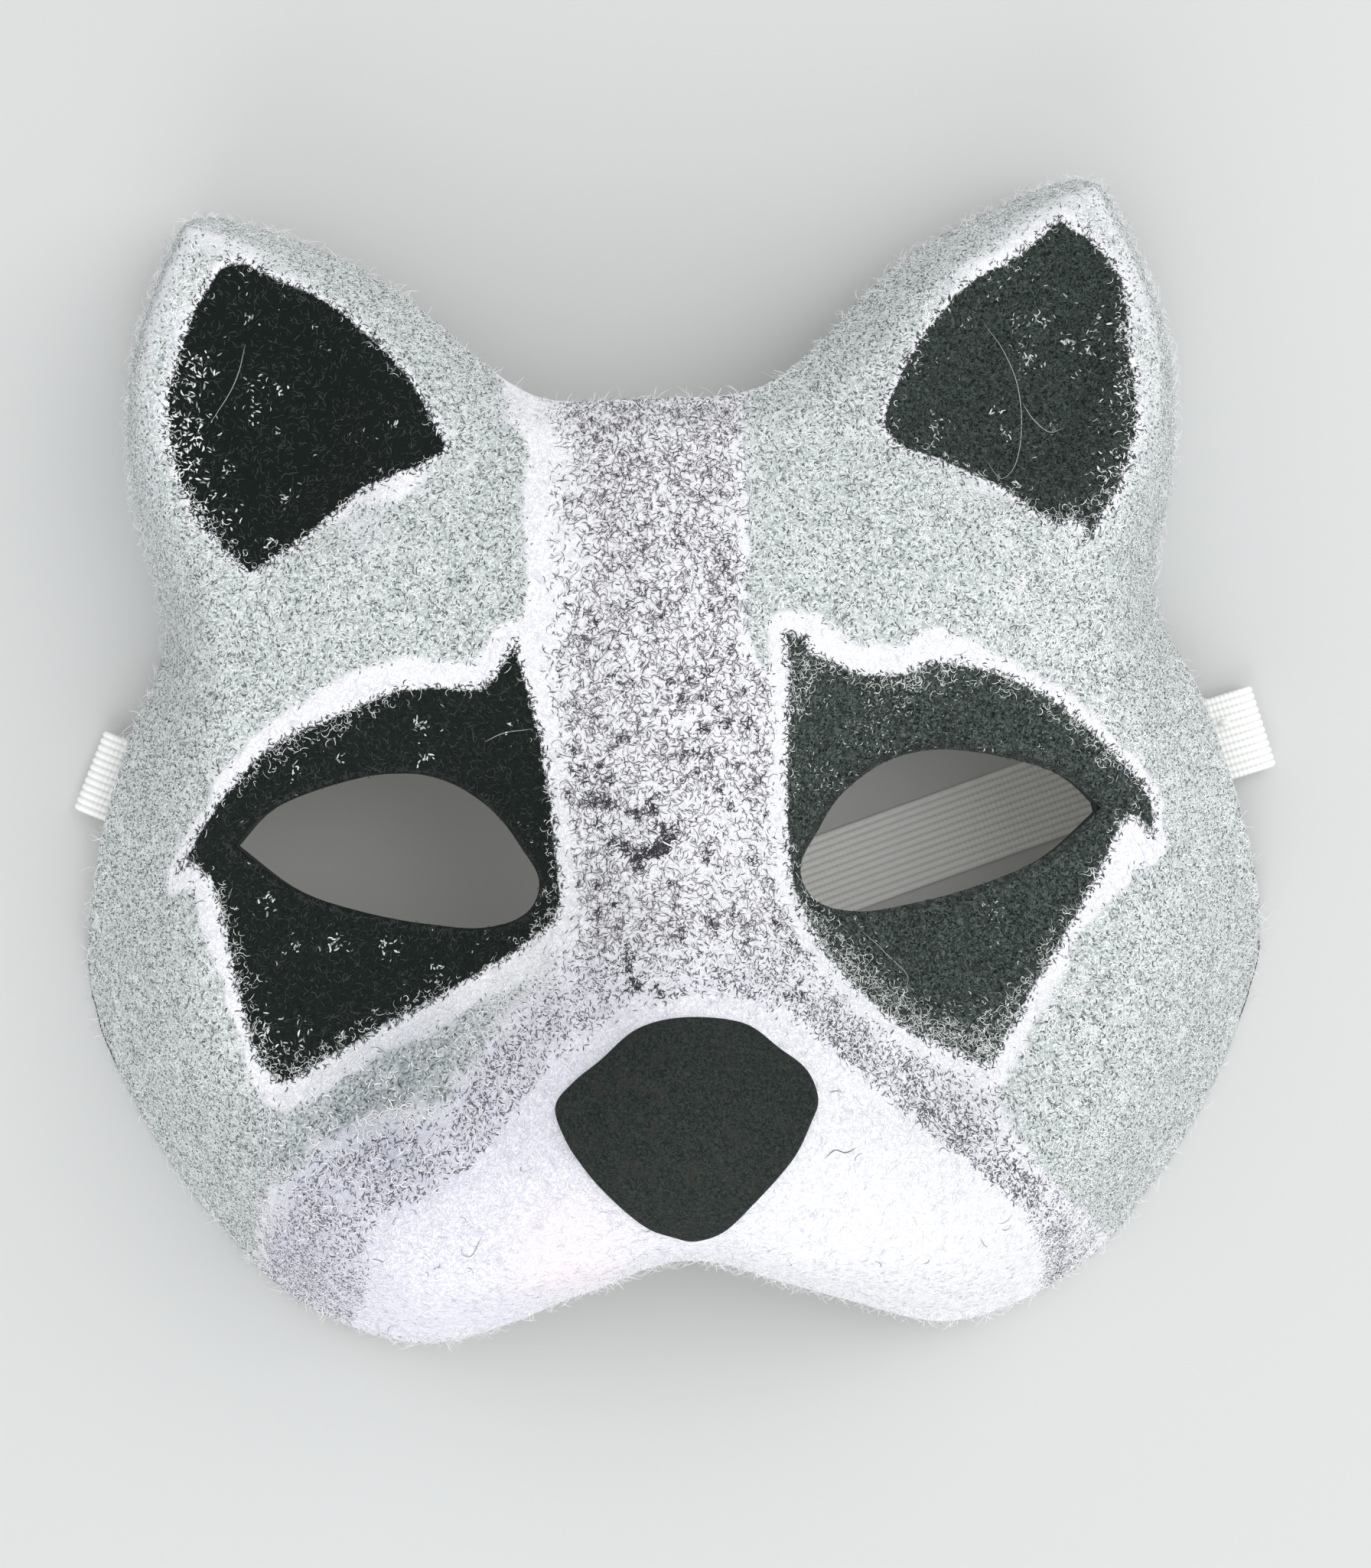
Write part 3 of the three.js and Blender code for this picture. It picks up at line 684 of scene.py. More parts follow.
BROW_STRIPE = [
    (-24, 66, "corner"), (-19, 52), (-17, 47), (-18.5, 40), (-18, 29), (-20.5, 6), (-20.5, -14),
    (-18, -28, "corner"), (-26, -36.5), (-36, -47.5), (-46, -50), (-58.5, -58), (-68, -74),
    (-75, -90, "corner"), (75, -90, "corner"), (65.5, -75.5), (53, -62.5), (46, -50.5), (43, -41, "corner"),
    (24, -22), (20.5, -2), (18.5, 10), (13.5, 15), (12.5, 22), (13.5, 33), (13.5, 48), (15.5, 66, "corner"),
]
MUZZLE = [
    (-57, -95, "corner"), (-54.5, -88.5), (-46, -74), (-44, -63.5), (-36, -60.5), (-29.5, -56), (-20, -45.5),
    (-11, -39.5), (1, -34), (12, -36.5), (20.5, -41), (32, -51.5), (43, -61.5), (51.5, -74),
    (57, -95, "corner"),
]


def step_up(value, low, high):
    t = np.clip((value - low) / (high - low), 0, 1)
    return t * t * (3 - 2 * t)


NOT_NEAR = -99.0
ZONE_SPACING = 0.9
ZONES_REACH_OUT = 2
near_mask = inside_grid > -ZONES_REACH_OUT


def inside_grid_of(zones):
    """Grid of how far inside the nearest of some zones each point lies, worked out where the mask is."""
    grid = np.full(mesh_x.shape, NOT_NEAR)
    outlines = [smooth_outline(zone, ZONE_SPACING) for zone in zones]
    places = mesh_x[near_mask], mesh_y[near_mask]
    grid[near_mask] = np.maximum.reduce([inside_of(outline, *places)[0] for outline in outlines])
    return grid


eye_zone, ear_zone = inside_grid_of(EYE_PATCHES), inside_grid_of(EAR_PATCHES)
stripe_zone, muzzle_zone = inside_grid_of([BROW_STRIPE]), inside_grid_of([MUZZLE])
hole_zone = inside_grid_of([eye_right, eye_left])
cut_grid = np.maximum(0, np.minimum(inside_grid, -hole_zone))
print("felt grid points:", int((cut_grid > 0).sum()))

# %% [markdown]
# Each paint fades in its own way. Beside the black there is a bare white border. Left of the brow stripe the
# white is wide and soft, right of it narrow and crisp. Below the eyes the stripe parts into two bands. Some
# edges are far more ragged than others, so a few soft spots say where. All of these are grids, like the
# height, and two sizes of noise keep their edges from looking drawn.


# %% Soft noise and soft spots
NOISE_CELLS = 64


def soft_noise(points, size, seed):
    """Smooth random numbers from -1 to 1 that change over the given size."""
    table = np.random.default_rng(seed).uniform(-1, 1, (NOISE_CELLS,) * 3)
    at = points / size
    low = np.floor(at).astype(int)
    t = at - low
    t = t * t * (3 - 2 * t)
    total = np.zeros(len(points))
    for corner in np.ndindex(2, 2, 2):
        weight = np.prod(np.where(corner, t, 1 - t), axis=1)
        i, j, k = ((low + corner) % NOISE_CELLS).T
        total += weight * table[i, j, k]
    return total


def soft_spots(spots):
    """Sum of soft round spots, each with its own strength."""
    total = np.zeros(mesh_x.shape)
    for x, y, radius, strength in spots:
        total += strength * np.exp(-((mesh_x - x) ** 2 + (mesh_y - y) ** 2) / radius**2)
    return total


def noise_grid(size, seed):
    return soft_noise(grid_points, size, seed).reshape(mesh_x.shape)


grid_points = np.stack([mesh_x, mesh_y, height_grid], axis=-1).reshape(-1, 3)
wobble, ripple = noise_grid(size=4.0, seed=31), noise_grid(size=1.6, seed=33)
print(f"wobble from {wobble.min():.2f} to {wobble.max():.2f}")

# %% Spots where the paint differs
RAGGED_SPOTS = [
    # x, y, radius, extra raggedness
    (72, 52, 13, 0.5),
    (62, 34, 8, 0.6),
    (-70, 46, 13, 1.0),
    (-62, 35, 9, 0.8),
    (-66, -30, 8, 0.3),
    (20, 10, 9, 0.3),
    (36, -40, 10, 0.4),
]
EYE_BORDER = [
    # x, y, radius, extra width of the white border in mm
    (-43, 14, 16, 3.4),
    (-22, 16, 8, 1.6),
    (-73, -5, 6, -0.8),
    (-70, -19, 8, 2.0),
    (-64, -40, 7, -0.9),
    (-40, -40, 20, 2.2),
    (-20, -28, 9, 1.6),
    (36, 17, 14, 3.0),
    (22, 19, 7, 1.2),
    (68, -18, 6, 3.2),
    (56, -37, 7, 0.7),
    (48, -48, 7, 1.6),
    (-58, -48, 6, 1.8),
]
EAR_BORDER = [
    # x, y, radius, extra width of the white border in mm
    (46, 72, 6, 2.5),
    (56, 78, 5, 2.2),
    (45, 38, 6, 2.0),
    (-37, 41, 6, 2.2),
]
# Painted shade: soft spots that darken the bands below the eyes, down to the jowls.
PAINTED_SHADE_SPOTS = [
    # x, y, radius, amount of painted shade
    (-36, -41, 9, 0.52),
    (-46, -47, 8, 0.54),
    (-54, -54, 8, 0.36),
    (-40, -56, 6, 0.4),
    (-52, -66, 9, 0.32),
    (-61, -75, 9, 0.3),
    (40, -53, 8, 0.3),
    (49, -63, 8, 0.1),
]
PALE_FELT = [
    # x, y, radius, share of grey that is missing
    (-19, 53, 3.5, 0.8),
    (-44, 37, 6, 0.4),
    (-38, 42, 5, 0.3),
]
BLUSH = [
    # x, y, radius, amount of pink
    (-15.8, -68.5, 8, 0.65),
    (-20, -74, 7, 0.2),
]
print("border spots:", len(EYE_BORDER) + len(EAR_BORDER), "shaded spots:", len(PAINTED_SHADE_SPOTS))

# %% Parts of the face
BANDS_BEGIN, BANDS_FULL = 22, 32
black_zone = np.maximum(eye_zone, ear_zone)
not_black = step_up(-black_zone, -0.2, 0.8)
bands = step_up(-mesh_y, BANDS_BEGIN, BANDS_FULL)
right = step_up(mesh_x, -2, 2)
left_band = bands * (1 - right)
middle_face = step_up(-np.abs(mesh_x), -24, -14)
right_jowl = right * step_up(-mesh_y, 58, 70)
rise_y, rise_x = np.gradient(height_grid, GRID_STEP)
steep_grid = np.sqrt(1 + rise_x**2 + rise_y**2)
# Painted light: towards the outer rims of the ears the grey paint thins to white, so these steep slopes look
# lit. It thins less on the steepest felt.
lit_ear_rim = step_up(mesh_y, 16, 44) * step_up(-inside_grid, -15, -4) * step_up(np.abs(mesh_x), 36, 64)
lit_ear_rim *= 1 - 0.7 * step_up(steep_grid, 1.7, 3.4)
print(f"black covers {(black_zone > 0).sum() * GRID_STEP**2 / 100:.0f} cm2 of the plan, eye holes included")

# %% Amounts of each paint
EYE_BORDER_WIDTH, EAR_BORDER_WIDTH = 1.5, 1.3
RAGGEDNESS = 0.55
DARK_PAINT = {
    # stripe left, stripe right, band left, band right, in mm from the stripe's outline
    "strokes begin": (1.2, -1.1, -0.8, -1.5),
    "strokes fade": (8.5, 2.6, 4.5, 5.0),
    "grey begins": (-0.4, -0.4, -2.0, -2.0),
    "grey is full": (1.8, 0.6, 2.0, 2.0),
}


def by_part(stripe_left, stripe_right, band_left, band_right):
    """One value for each part of the dark paint, blended where the parts meet."""
    stripe = stripe_left + (stripe_right - stripe_left) * right
    band = band_left + (band_right - band_left) * right
    return stripe + (band - stripe) * bands


margin, fade, grey_from, grey_to = (by_part(*row) for row in DARK_PAINT.values())
eye_border = EYE_BORDER_WIDTH + soft_spots(EYE_BORDER) + 0.9 * wobble + 0.6 * ripple
halo = step_up(eye_zone, -eye_border - 2.0, -eye_border + 1.0)
ear_border = EAR_BORDER_WIDTH + soft_spots(EAR_BORDER) + 0.5 * ripple
ear_halo = step_up(ear_zone, -ear_border - 1.0, -ear_border + 1.0) * (0.5 + 0.4 * wobble)
wander = 0.6 * ripple + left_band * (1.4 * wobble + 0.7 * ripple)
outside_stripe = step_up(wander - stripe_zone, grey_from, grey_to)
# No grey on the black or on the pale felt spots, and less on the ear rims, where the missing grey is painted
# light.
may_be_grey = (1 - 0.8 * lit_ear_rim) * not_black * (1 - np.minimum(1, soft_spots(PALE_FELT)))
uneven_stripe = stripe_zone + wobble + 0.6 * ripple
above_muzzle = step_up(-muzzle_zone, 0.8 * middle_face - 0.4, 1.4 + 4.1 * middle_face + 4.0 * right_jowl)
from_eye = 1 - step_up(eye_zone, -3.4 - left_band, -1.6)
paint = {
    "black": black_zone,
    "rag": RAGGEDNESS + soft_spots(RAGGED_SPOTS),
    "grey": outside_stripe * (1 - halo) * (1 - ear_halo) * may_be_grey,
    "strokes": step_up(uneven_stripe, margin, margin + fade) * above_muzzle * from_eye,
    "lavender": 0.1 + 0.6 * bands * step_up(-mesh_x, -40, 40) * step_up(stripe_zone, -1, 4),
    "blush": soft_spots(BLUSH),
    "worn": (eye_zone > -3) * (0.03 + 0.5 * right) + (ear_zone > -3) * 0.35 * right,
    # painted shade, from the spots of painted shade
    "shaded": np.minimum(1, soft_spots(PAINTED_SHADE_SPOTS)),
}
print("paint grids:", list(paint))

# %% [markdown]
# ## Painted felt, the material
# Paint on felt only wets the tips of the fibres. Its edge is ragged, white fibres show through, and thin
# paint breaks up into speckles. A second node group gives any zone such an edge: it shifts the distance to
# the edge by two sizes of noise before it cuts. The material then lays the paints over the white felt, one
# mix after another: blush, grey speckle, strokes, painted shade below the eyes and at last the black.


# %% Node group for ragged edges
def make_ragged_group():
    group = bpy.data.node_groups.new("ragged_edge", "ShaderNodeTree")
    for name in ("Distance", "Rag"):
        group.interface.new_socket(name, in_out="INPUT", socket_type="NodeSocketFloat")
    group.interface.new_socket("Mask", in_out="OUTPUT", socket_type="NodeSocketFloat")
    inputs, outputs = group.nodes.new("NodeGroupInput"), group.nodes.new("NodeGroupOutput")
    where = add_node(group, "ShaderNodeTexCoord").outputs["Object"]
    fine_inputs = {"Vector": where, "Scale": 1500.0, "Detail": 2.0, "Distortion": 1.5}
    fine = add_node(group, "ShaderNodeTexNoise", fine_inputs)
    wide = add_node(group, "ShaderNodeTexNoise", {"Vector": where, "Scale": 480.0, "Detail": 1.0})
    shift = calculate(group, "MULTIPLY_ADD", fine.outputs["Fac"], 2.4, wide.outputs["Fac"])
    shift = calculate(group, "MULTIPLY", calculate(group, "SUBTRACT", shift, 1.7), inputs.outputs["Rag"])
    moved = calculate(group, "ADD", inputs.outputs["Distance"], shift)
    group.links.new(ease(group, moved, -0.15, 0.2), outputs.inputs["Mask"])
    return group


ragged_group = make_ragged_group()


def ragged_mask(tree, distance, rag):
    inputs = {"Distance": distance, "Rag": rag}
    return add_node(tree, "ShaderNodeGroup", inputs, node_tree=ragged_group).outputs["Mask"]


print("ragged edge nodes:", len(ragged_group.nodes))

# %% Painted felt
painted_felt, tree, shader = new_material("painted_felt", roughness=0.95)
grain = add_grain(tree, size=0.0005)
lavender = read_attribute(tree, "lavender")
white = mix_colours(tree, lavender, colour(254, 254, 254), colour(244, 244, 253))
shade = mix_colours(tree, lavender, colour(226, 227, 231), colour(214, 213, 230))
felt = mix_colours(tree, ease(tree, grain["Fibres"], 0.62, 0.36), white, shade)
felt = mix_colours(tree, read_attribute(tree, "blush"), felt, colour(250, 236, 240))

grains = ease(tree, grain["Fibres"], 0.38, 0.62)
speckle = mix_colours(tree, grains, colour(176, 183, 182), colour(232, 237, 236))
threads = calculate(tree, "MULTIPLY", grain["Threads"], 0.5)
speckle = mix_colours(tree, threads, speckle, colour(128, 135, 135))
paler = calculate(tree, "MULTIPLY", ease(tree, grain["Lumps"], 0.52, 0.78), 0.6)
speckle = mix_colours(tree, paler, speckle, colour(238, 241, 241))
fuzzy_grey = calculate(tree, "MULTIPLY_ADD", grain["Fibres"], 0.7, read_attribute(tree, "grey"))
felt = mix_colours(tree, ease(tree, fuzzy_grey, 0.6, 1.05), felt, speckle)

strokes = read_attribute(tree, "strokes")
thin = calculate(tree, "MULTIPLY", ease(tree, grain["Fibres"], 0.46, 0.68), 0.12)
thread_paint = calculate(tree, "MULTIPLY", grain["Threads"], 0.2)
wet = calculate(tree, "MULTIPLY", strokes, calculate(tree, "MAXIMUM", thin, thread_paint))
stroke_colour = mix_colours(tree, lavender, colour(116, 107, 117), colour(118, 117, 138))
felt = mix_colours(tree, wet, felt, stroke_colour)
# painted shade: where the shaded spots lie, the felt is multiplied by a cool grey
felt = mix_colours(tree, read_attribute(tree, "shaded"), felt, (0.5, 0.52, 0.56, 1), "MULTIPLY")

black_mask = ragged_mask(tree, read_attribute(tree, "black"), read_attribute(tree, "rag"))
# The black paint has a green cast, which is a painted reflection of green grass. The rubbed black and the
# black nap carry the same cast.
black = mix_colours(tree, grain["Fibres"], colour(4, 10, 7), colour(20, 32, 26))
rubbed = mix_colours(tree, ease(tree, grain["Fibres"], 0.35, 0.7), colour(17, 24, 21), colour(122, 135, 128))
black = mix_colours(tree, read_attribute(tree, "worn"), black, rubbed)
felt = mix_colours(tree, black_mask, felt, black)
tree.links.new(felt, shader.inputs["Base Color"])
relief = calculate(tree, "MULTIPLY_ADD", grain["Lumps"], 1.5, grain["Fibres"])
add_bump(tree, shader, relief, strength=0.6, distance=0.0006)
shader.inputs["Sheen Weight"].default_value = 0.03
shader.inputs["Specular IOR Level"].default_value = 0.2
print("felt nodes:", len(tree.nodes))

# %% [markdown]
# ## The felt cover
# Felt is 1.2 mm thick here. Its cut edges are soft, so the outer face dips near them. Wet felt dries a little
# lumpy over the mould, which a small random swell of the surface gives. Fibres will lie on this swollen face
# later, so its depth is kept as a grid too.

# %% Felt cover
FELT_HEM = 0.3
EDGE_ROUND, EDGE_DIP = 1.1, 0.45
swell = 0.16 * noise_grid(size=5, seed=11) + 0.10 * noise_grid(size=2.2, seed=12)
dip = EDGE_DIP * (1 - np.minimum(1, cut_grid / EDGE_ROUND)) ** 2
top_grid = dip - swell


def on_felt(x, y, lift):
    """Points over the swollen outer face of the felt, above the floor."""
    points = under_surface(x, y, read_grid(top_grid, x, y) - lift)
    points[:, 2] = np.maximum(points[:, 2], FELT_HEM)
    return points


felt_x, felt_y = fine_plan[0].T
outer, inner = on_felt(felt_x, felt_y, 0), under_surface(felt_x, felt_y, FELT)
cover_points, cover_faces = wall_between(fine_plan, outer, inner, FELT_HEM)
cover = mesh_object("felt_skin", cover_points, cover_faces, painted_felt)
for name, grid in paint.items():
    set_attribute(cover, name, np.tile(read_grid(grid, felt_x, felt_y), 2))
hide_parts("felt_cover")
print("felt cover:", len(cover_faces), "triangles")

# %% [markdown]
# ## Fibres
# Close up, the paint is made of fibres: dark curls in the stripe, flecks in the grey, white curls that stick
# out over the black. Hair curves would do, but flat ribbons are lighter and keep their shape everywhere.
# Each ribbon lies on the felt, is tapered at both ends and has one colour. All of them are scattered by a
# random generator with a fixed seed, so the mask comes out the same each time.

# %% Fibre material and ribbons
fibre_stuff, tree, shader = new_material("loose_fibre", roughness=0.9)
tint = read_attribute(tree, "tint", "Color")
grain = add_grain(tree, size=0.0004)
shaded = mix_colours(tree, calculate(tree, "MULTIPLY", grain["Fibres"], 0.3), tint, colour(120, 122, 124))
tree.links.new(shaded, shader.inputs["Base Color"])
shader.inputs["Specular IOR Level"].default_value = 0.2

SEED = 7
STEEPEST = 4
LOWEST_FIBRE = 0.05
FIBRE_TAPER = 0.75
EDGE_CLEAR = 0.4
rng = np.random.default_rng(SEED)
felt_there = cut_grid > EDGE_CLEAR


def scatter(count, density):
    """Random places on the felt, more of them where the density grid is higher."""
    weight = np.where(felt_there, density * np.minimum(steep_grid, STEEPEST), 0).ravel()
    cells = rng.choice(weight.size, count, p=weight / weight.sum())
    off_x, off_y = rng.uniform(-0.5, 0.5, (2, count)) * GRID_STEP
    return mesh_x.ravel()[cells] + off_x, mesh_y.ravel()[cells] + off_y


def ribbons(name, middle, normal, width, tints):
    """One ribbon along each row of middles, square to its normals, tapered at both ends."""
    count, steps = middle.shape[0], middle.shape[1] - 1
    side = np.cross(normal, np.gradient(middle, axis=1))
    side /= np.linalg.norm(side, axis=2, keepdims=True) + TINY
    taper = 1 - FIBRE_TAPER * np.abs(np.linspace(-1, 1, steps + 1)) ** 3
    side *= (width[:, None] / 2 * taper)[..., None]
    points = np.stack([middle - side, middle + side], axis=2).reshape(-1, 3)
    points[:, 2] = np.maximum(points[:, 2], LOWEST_FIBRE)
    first = 2 * (np.arange(count)[:, None] * (steps + 1) + np.arange(steps)).reshape(-1, 1)
    faces = first + np.array([0, 1, 3, 2])
    piece = mesh_object(name, points, faces, fibre_stuff)
    light = np.array([colour(*tint) for tint in tints])
    set_attribute(piece, "tint", np.repeat(light, 2 * (steps + 1), axis=0))
    return piece


print("fibres can lie on", int(felt_there.sum()), "cells")


# %% Fibres that lie on the felt
ENDS_LIFT = 0.04
COMBED_BELOW, COMBED_RANGE, MOST_COMBED = 0.85, 0.35, 0.8
COMB_SPREAD = 0.35


def lie_down(x, y, heading, length, curl, lift, steps):
    """Middles and normals of fibres that lie on the felt and curl along it."""
    along = np.linspace(0, 1, steps + 1)
    turn = heading[:, None] + curl[:, None] * (along - 0.5)
    way = np.stack([np.cos(turn), np.sin(turn)], axis=-1) * (length / steps)[:, None, None]
    normal = surface_normal(x, y)
    downhill = normal[:, :2] / (np.linalg.norm(normal[:, :2], axis=1, keepdims=True) + TINY)
    steeper = ((way * downhill[:, None]).sum(axis=2) * (1 - normal[:, 2:]))[..., None]
    plan = np.cumsum(way - downhill[:, None] * steeper, axis=1)
    plan += np.stack([x, y], axis=-1)[:, None] - plan.mean(axis=1, keepdims=True)
    plan_x, plan_y = plan.reshape(-1, 2).T
    lifts = (ENDS_LIFT + lift[:, None] * np.sin(np.pi * along)).ravel()
    shape = (len(x), steps + 1, 3)
    return on_felt(plan_x, plan_y, lifts).reshape(shape), surface_normal(plan_x, plan_y).reshape(shape)


def between(low, high, count):
    return rng.uniform(low, high, count)


def pick_tints(tints, count):
    return np.array(tints)[rng.integers(0, len(tints), count)]


def lay_fibres(name, count, density, length, width, curl, lift, tints, steps=4):
    """Scatters fibres of random length, width and curl. On steep felt most of them are combed downhill."""
    x, y = scatter(count, density)
    normal = surface_normal(x, y)
    combed_share = np.clip((COMBED_BELOW - normal[:, 2]) / COMBED_RANGE, 0, MOST_COMBED)
    combed = between(0, 1, count) < combed_share
    down = np.arctan2(normal[:, 1], normal[:, 0]) + rng.normal(0, COMB_SPREAD, count)
    heading = np.where(combed, down, between(0, 2 * np.pi, count))
    bend = between(*curl, count) * rng.choice([-1, 1], count)
    middle, normal = lie_down(x, y, heading, between(*length, count), bend, between(0, lift, count), steps)
    return ribbons(name, middle, normal, between(*width, count), pick_tints(tints, count))


print("share of fibres combed on the steepest felt:", MOST_COMBED)

# %% Where the first fibres are dense
PALE_STRIPE = [
    # x, y, radius, share of strokes that is missing
    (10, -9, 6, 0.5),
    (7, -18, 5, 0.3),
    (-3, -12, 6, 0.4),
]
patches, clumps = noise_grid(size=3.0, seed=21), noise_grid(size=1.3, seed=22)
stripe_paint = paint["strokes"] * (1 - bands)
uneven = np.maximum(0.1, 0.8 + 0.25 * patches + 0.25 * clumps)
in_stripe = stripe_paint * uneven * (1 - soft_spots(PALE_STRIPE))
in_knots = stripe_paint * step_up(clumps + 0.4 * patches, 0.55, 0.95) * (0.2 + step_up(-mesh_y, -36, -18))
by_muzzle = step_up(muzzle_zone, -8, -2)
in_bands = paint["strokes"] * bands * (0.7 + 0.5 * patches) * (1 + right * (1.6 * by_muzzle - 0.2))
band_edge = left_band * step_up(stripe_zone, -3.5, -0.5) * step_up(-stripe_zone, -4, 0)
band_edge *= 1.5 * step_up(patches + 0.6 * clumps, -0.1, 0.6)
in_clumps = paint["grey"] * (0.4 + 1.6 * step_up(patches + 0.6 * clumps, 0.25, 0.8))
in_clumps *= 0.7 + 1.1 * step_up(mesh_x, 20, 70)
bare = (1 - paint["grey"]) * not_black * (1.1 - 0.6 * paint["strokes"])
print(f"strokes cover {(paint['strokes'] > 0.5).sum() * GRID_STEP**2 / 100:.0f} cm2 of the plan")

# %% Fibres of the strokes, the bare felt and the grey
fibre_pieces = [
    lay_fibres("stripe_flecks", 7900, in_stripe, length=(0.4, 1.3), width=(0.07, 0.14), curl=(0.2, 2.0),
               lift=0.12, tints=[(33, 28, 34), (60, 54, 62), (88, 81, 89), (126, 118, 128)], steps=3),
    lay_fibres("stripe_curls", 1900, in_stripe + 0.006 * not_black, length=(1.2, 2.8), width=(0.06, 0.1),
               curl=(0.6, 3.2), lift=0.18, tints=[(40, 35, 41), (77, 70, 78), (114, 106, 115)], steps=6),
    lay_fibres("stripe_knots", 850, in_knots, length=(0.35, 1.0), width=(0.09, 0.17), curl=(0.2, 2.2),
               lift=0.14, tints=[(12, 10, 13), (34, 30, 35)], steps=3),
    lay_fibres("band_flecks", 8500, in_bands, length=(0.4, 1.1), width=(0.11, 0.19), curl=(0.0, 1.4),
               lift=0.08, tints=[(52, 50, 60), (88, 87, 100), (122, 121, 136)], steps=2),
    lay_fibres("band_curls", 3600, 0.5 * in_bands * (1 - 0.6 * right) + band_edge, length=(0.7, 2.0),
               width=(0.09, 0.18), curl=(0.4, 3.0), lift=0.25,
               tints=[(255, 255, 255), (244, 243, 248), (226, 225, 230)]),
    lay_fibres("white_nap", 9000, bare, length=(0.8, 2.2), width=(0.10, 0.20), curl=(0.3, 3.0),
               lift=0.18, tints=[(255, 255, 255), (248, 248, 252), (232, 232, 240)]),
    lay_fibres("grey_flecks", 40000, paint["grey"], length=(0.3, 0.85), width=(0.1, 0.19), curl=(0.0, 1.2),
               lift=0.06, tints=[(50, 57, 57), (88, 95, 95), (126, 133, 132)], steps=2),
    lay_fibres("pale_flecks", 23000, in_clumps, length=(0.4, 1.3), width=(0.10, 0.20), curl=(0.2, 2.2),
               lift=0.14, tints=[(246, 249, 248), (255, 255, 255)], steps=3),
]
print("fibres:", {piece.name: len(piece.data.polygons) for piece in fibre_pieces})

# %% [markdown]
# At the edge of the black, white fibres lie over the paint and painted ones over the white. Lint has caught
# in the black, in small clumps. Short tables of soft spots say where each of these is thick.

# %% Spots of lint, curls and bare felt
LINT_SPOTS = [
    # x, y, radius, share
    (63, 67.5, 0.9, 1),
    (59, 64, 1.1, 0.8),
    (66.5, 62.5, 0.9, 1),
    (63, 61, 1.3, 1),
    (65.5, 59, 0.9, 1),
    (57.5, 58, 1.1, 0.7),
    (40, 58, 0.7, 1),
    (52.5, 51, 1, 0.7),
    (42.5, 48, 1.2, 0.8),
    (53, 47, 0.9, 1),
    (54, 39, 0.6, 1),
    (-59, 69.5, 0.9, 1),
    (-58.5, 59.5, 1, 0.7),
    (-55, 58.5, 0.8, 0.7),
    (-59, 54.5, 1.2, 0.6),
    (-55.5, 52, 0.7, 1),
    (-63, 46.5, 0.9, 0.7),
    (-54.5, 42, 1, 0.6),
    (-56.5, 35, 0.7, 1),
    (-37.5, 52, 0.8, 1),
    (-35.5, 7.5, 1, 1),
    (-35, 2.5, 1, 0.6),
    (-48, 2.5, 0.8, 0.8),
    (-54.5, 1.5, 0.8, 0.8),
    (-22.5, 6, 0.9, 0.6),
    (-60, -18, 1.2, 0.8),
    (-56, -24.5, 1.1, 0.7),
    (-50, -25, 1.3, 0.5),
    (-42, -24.5, 1.2, 0.6),
    (-34.5, -29, 1, 1),
    (-49, -38, 0.9, 1),
]
CURL_SPOTS = [
    # x, y, radius, share
    (22, -27, 6, 1.1),
    (29, -33, 7, 1.1),
    (37, -39, 7, 1.1),
    (45, -43, 7, 1.2),
    (54, -33, 6, 0.5),
    (19, 12, 6, 0.9),
    (-17, -20, 6, 0.5),
    (72, 55, 12, 0.4),
    (63, 35, 8, 0.7),
    (40, 45, 8, 0.2),
    (-60, -41, 8, 0.4),
    (-65, -28, 8, 0.4),
    (-46, -37, 12, 0.4),
    (-64, 36, 7, 0.6),
    (-48, 8, 9, 0.5),
    (-58, 3, 7, 0.4),
    (38, 10, 9, 0.8),
    (56, 5, 10, 0.45),
    (66, -3, 7, 0.45),
    (60, -25, 8, 0.4),
    (-66, -18, 7, 0.4),
]
BARE_SPOTS = [
    # x, y, radius, share
    (-69.5, 62, 3.5, 1.0),
    (-71, 54, 3.8, 1.0),
    (-70.5, 47, 3.5, 1.0),
    (-67, 40, 3, 0.8),
    (72, 62, 3, 0.8),
    (72, 52, 3, 0.8),
    (69, 40, 3, 0.8),
    (-64, -36, 4, 0.3),
    (-59, -42, 5, 0.4),
    (45, -42, 5, 0.3),
]
print("spots over the black:", len(LINT_SPOTS) + len(CURL_SPOTS) + len(BARE_SPOTS))

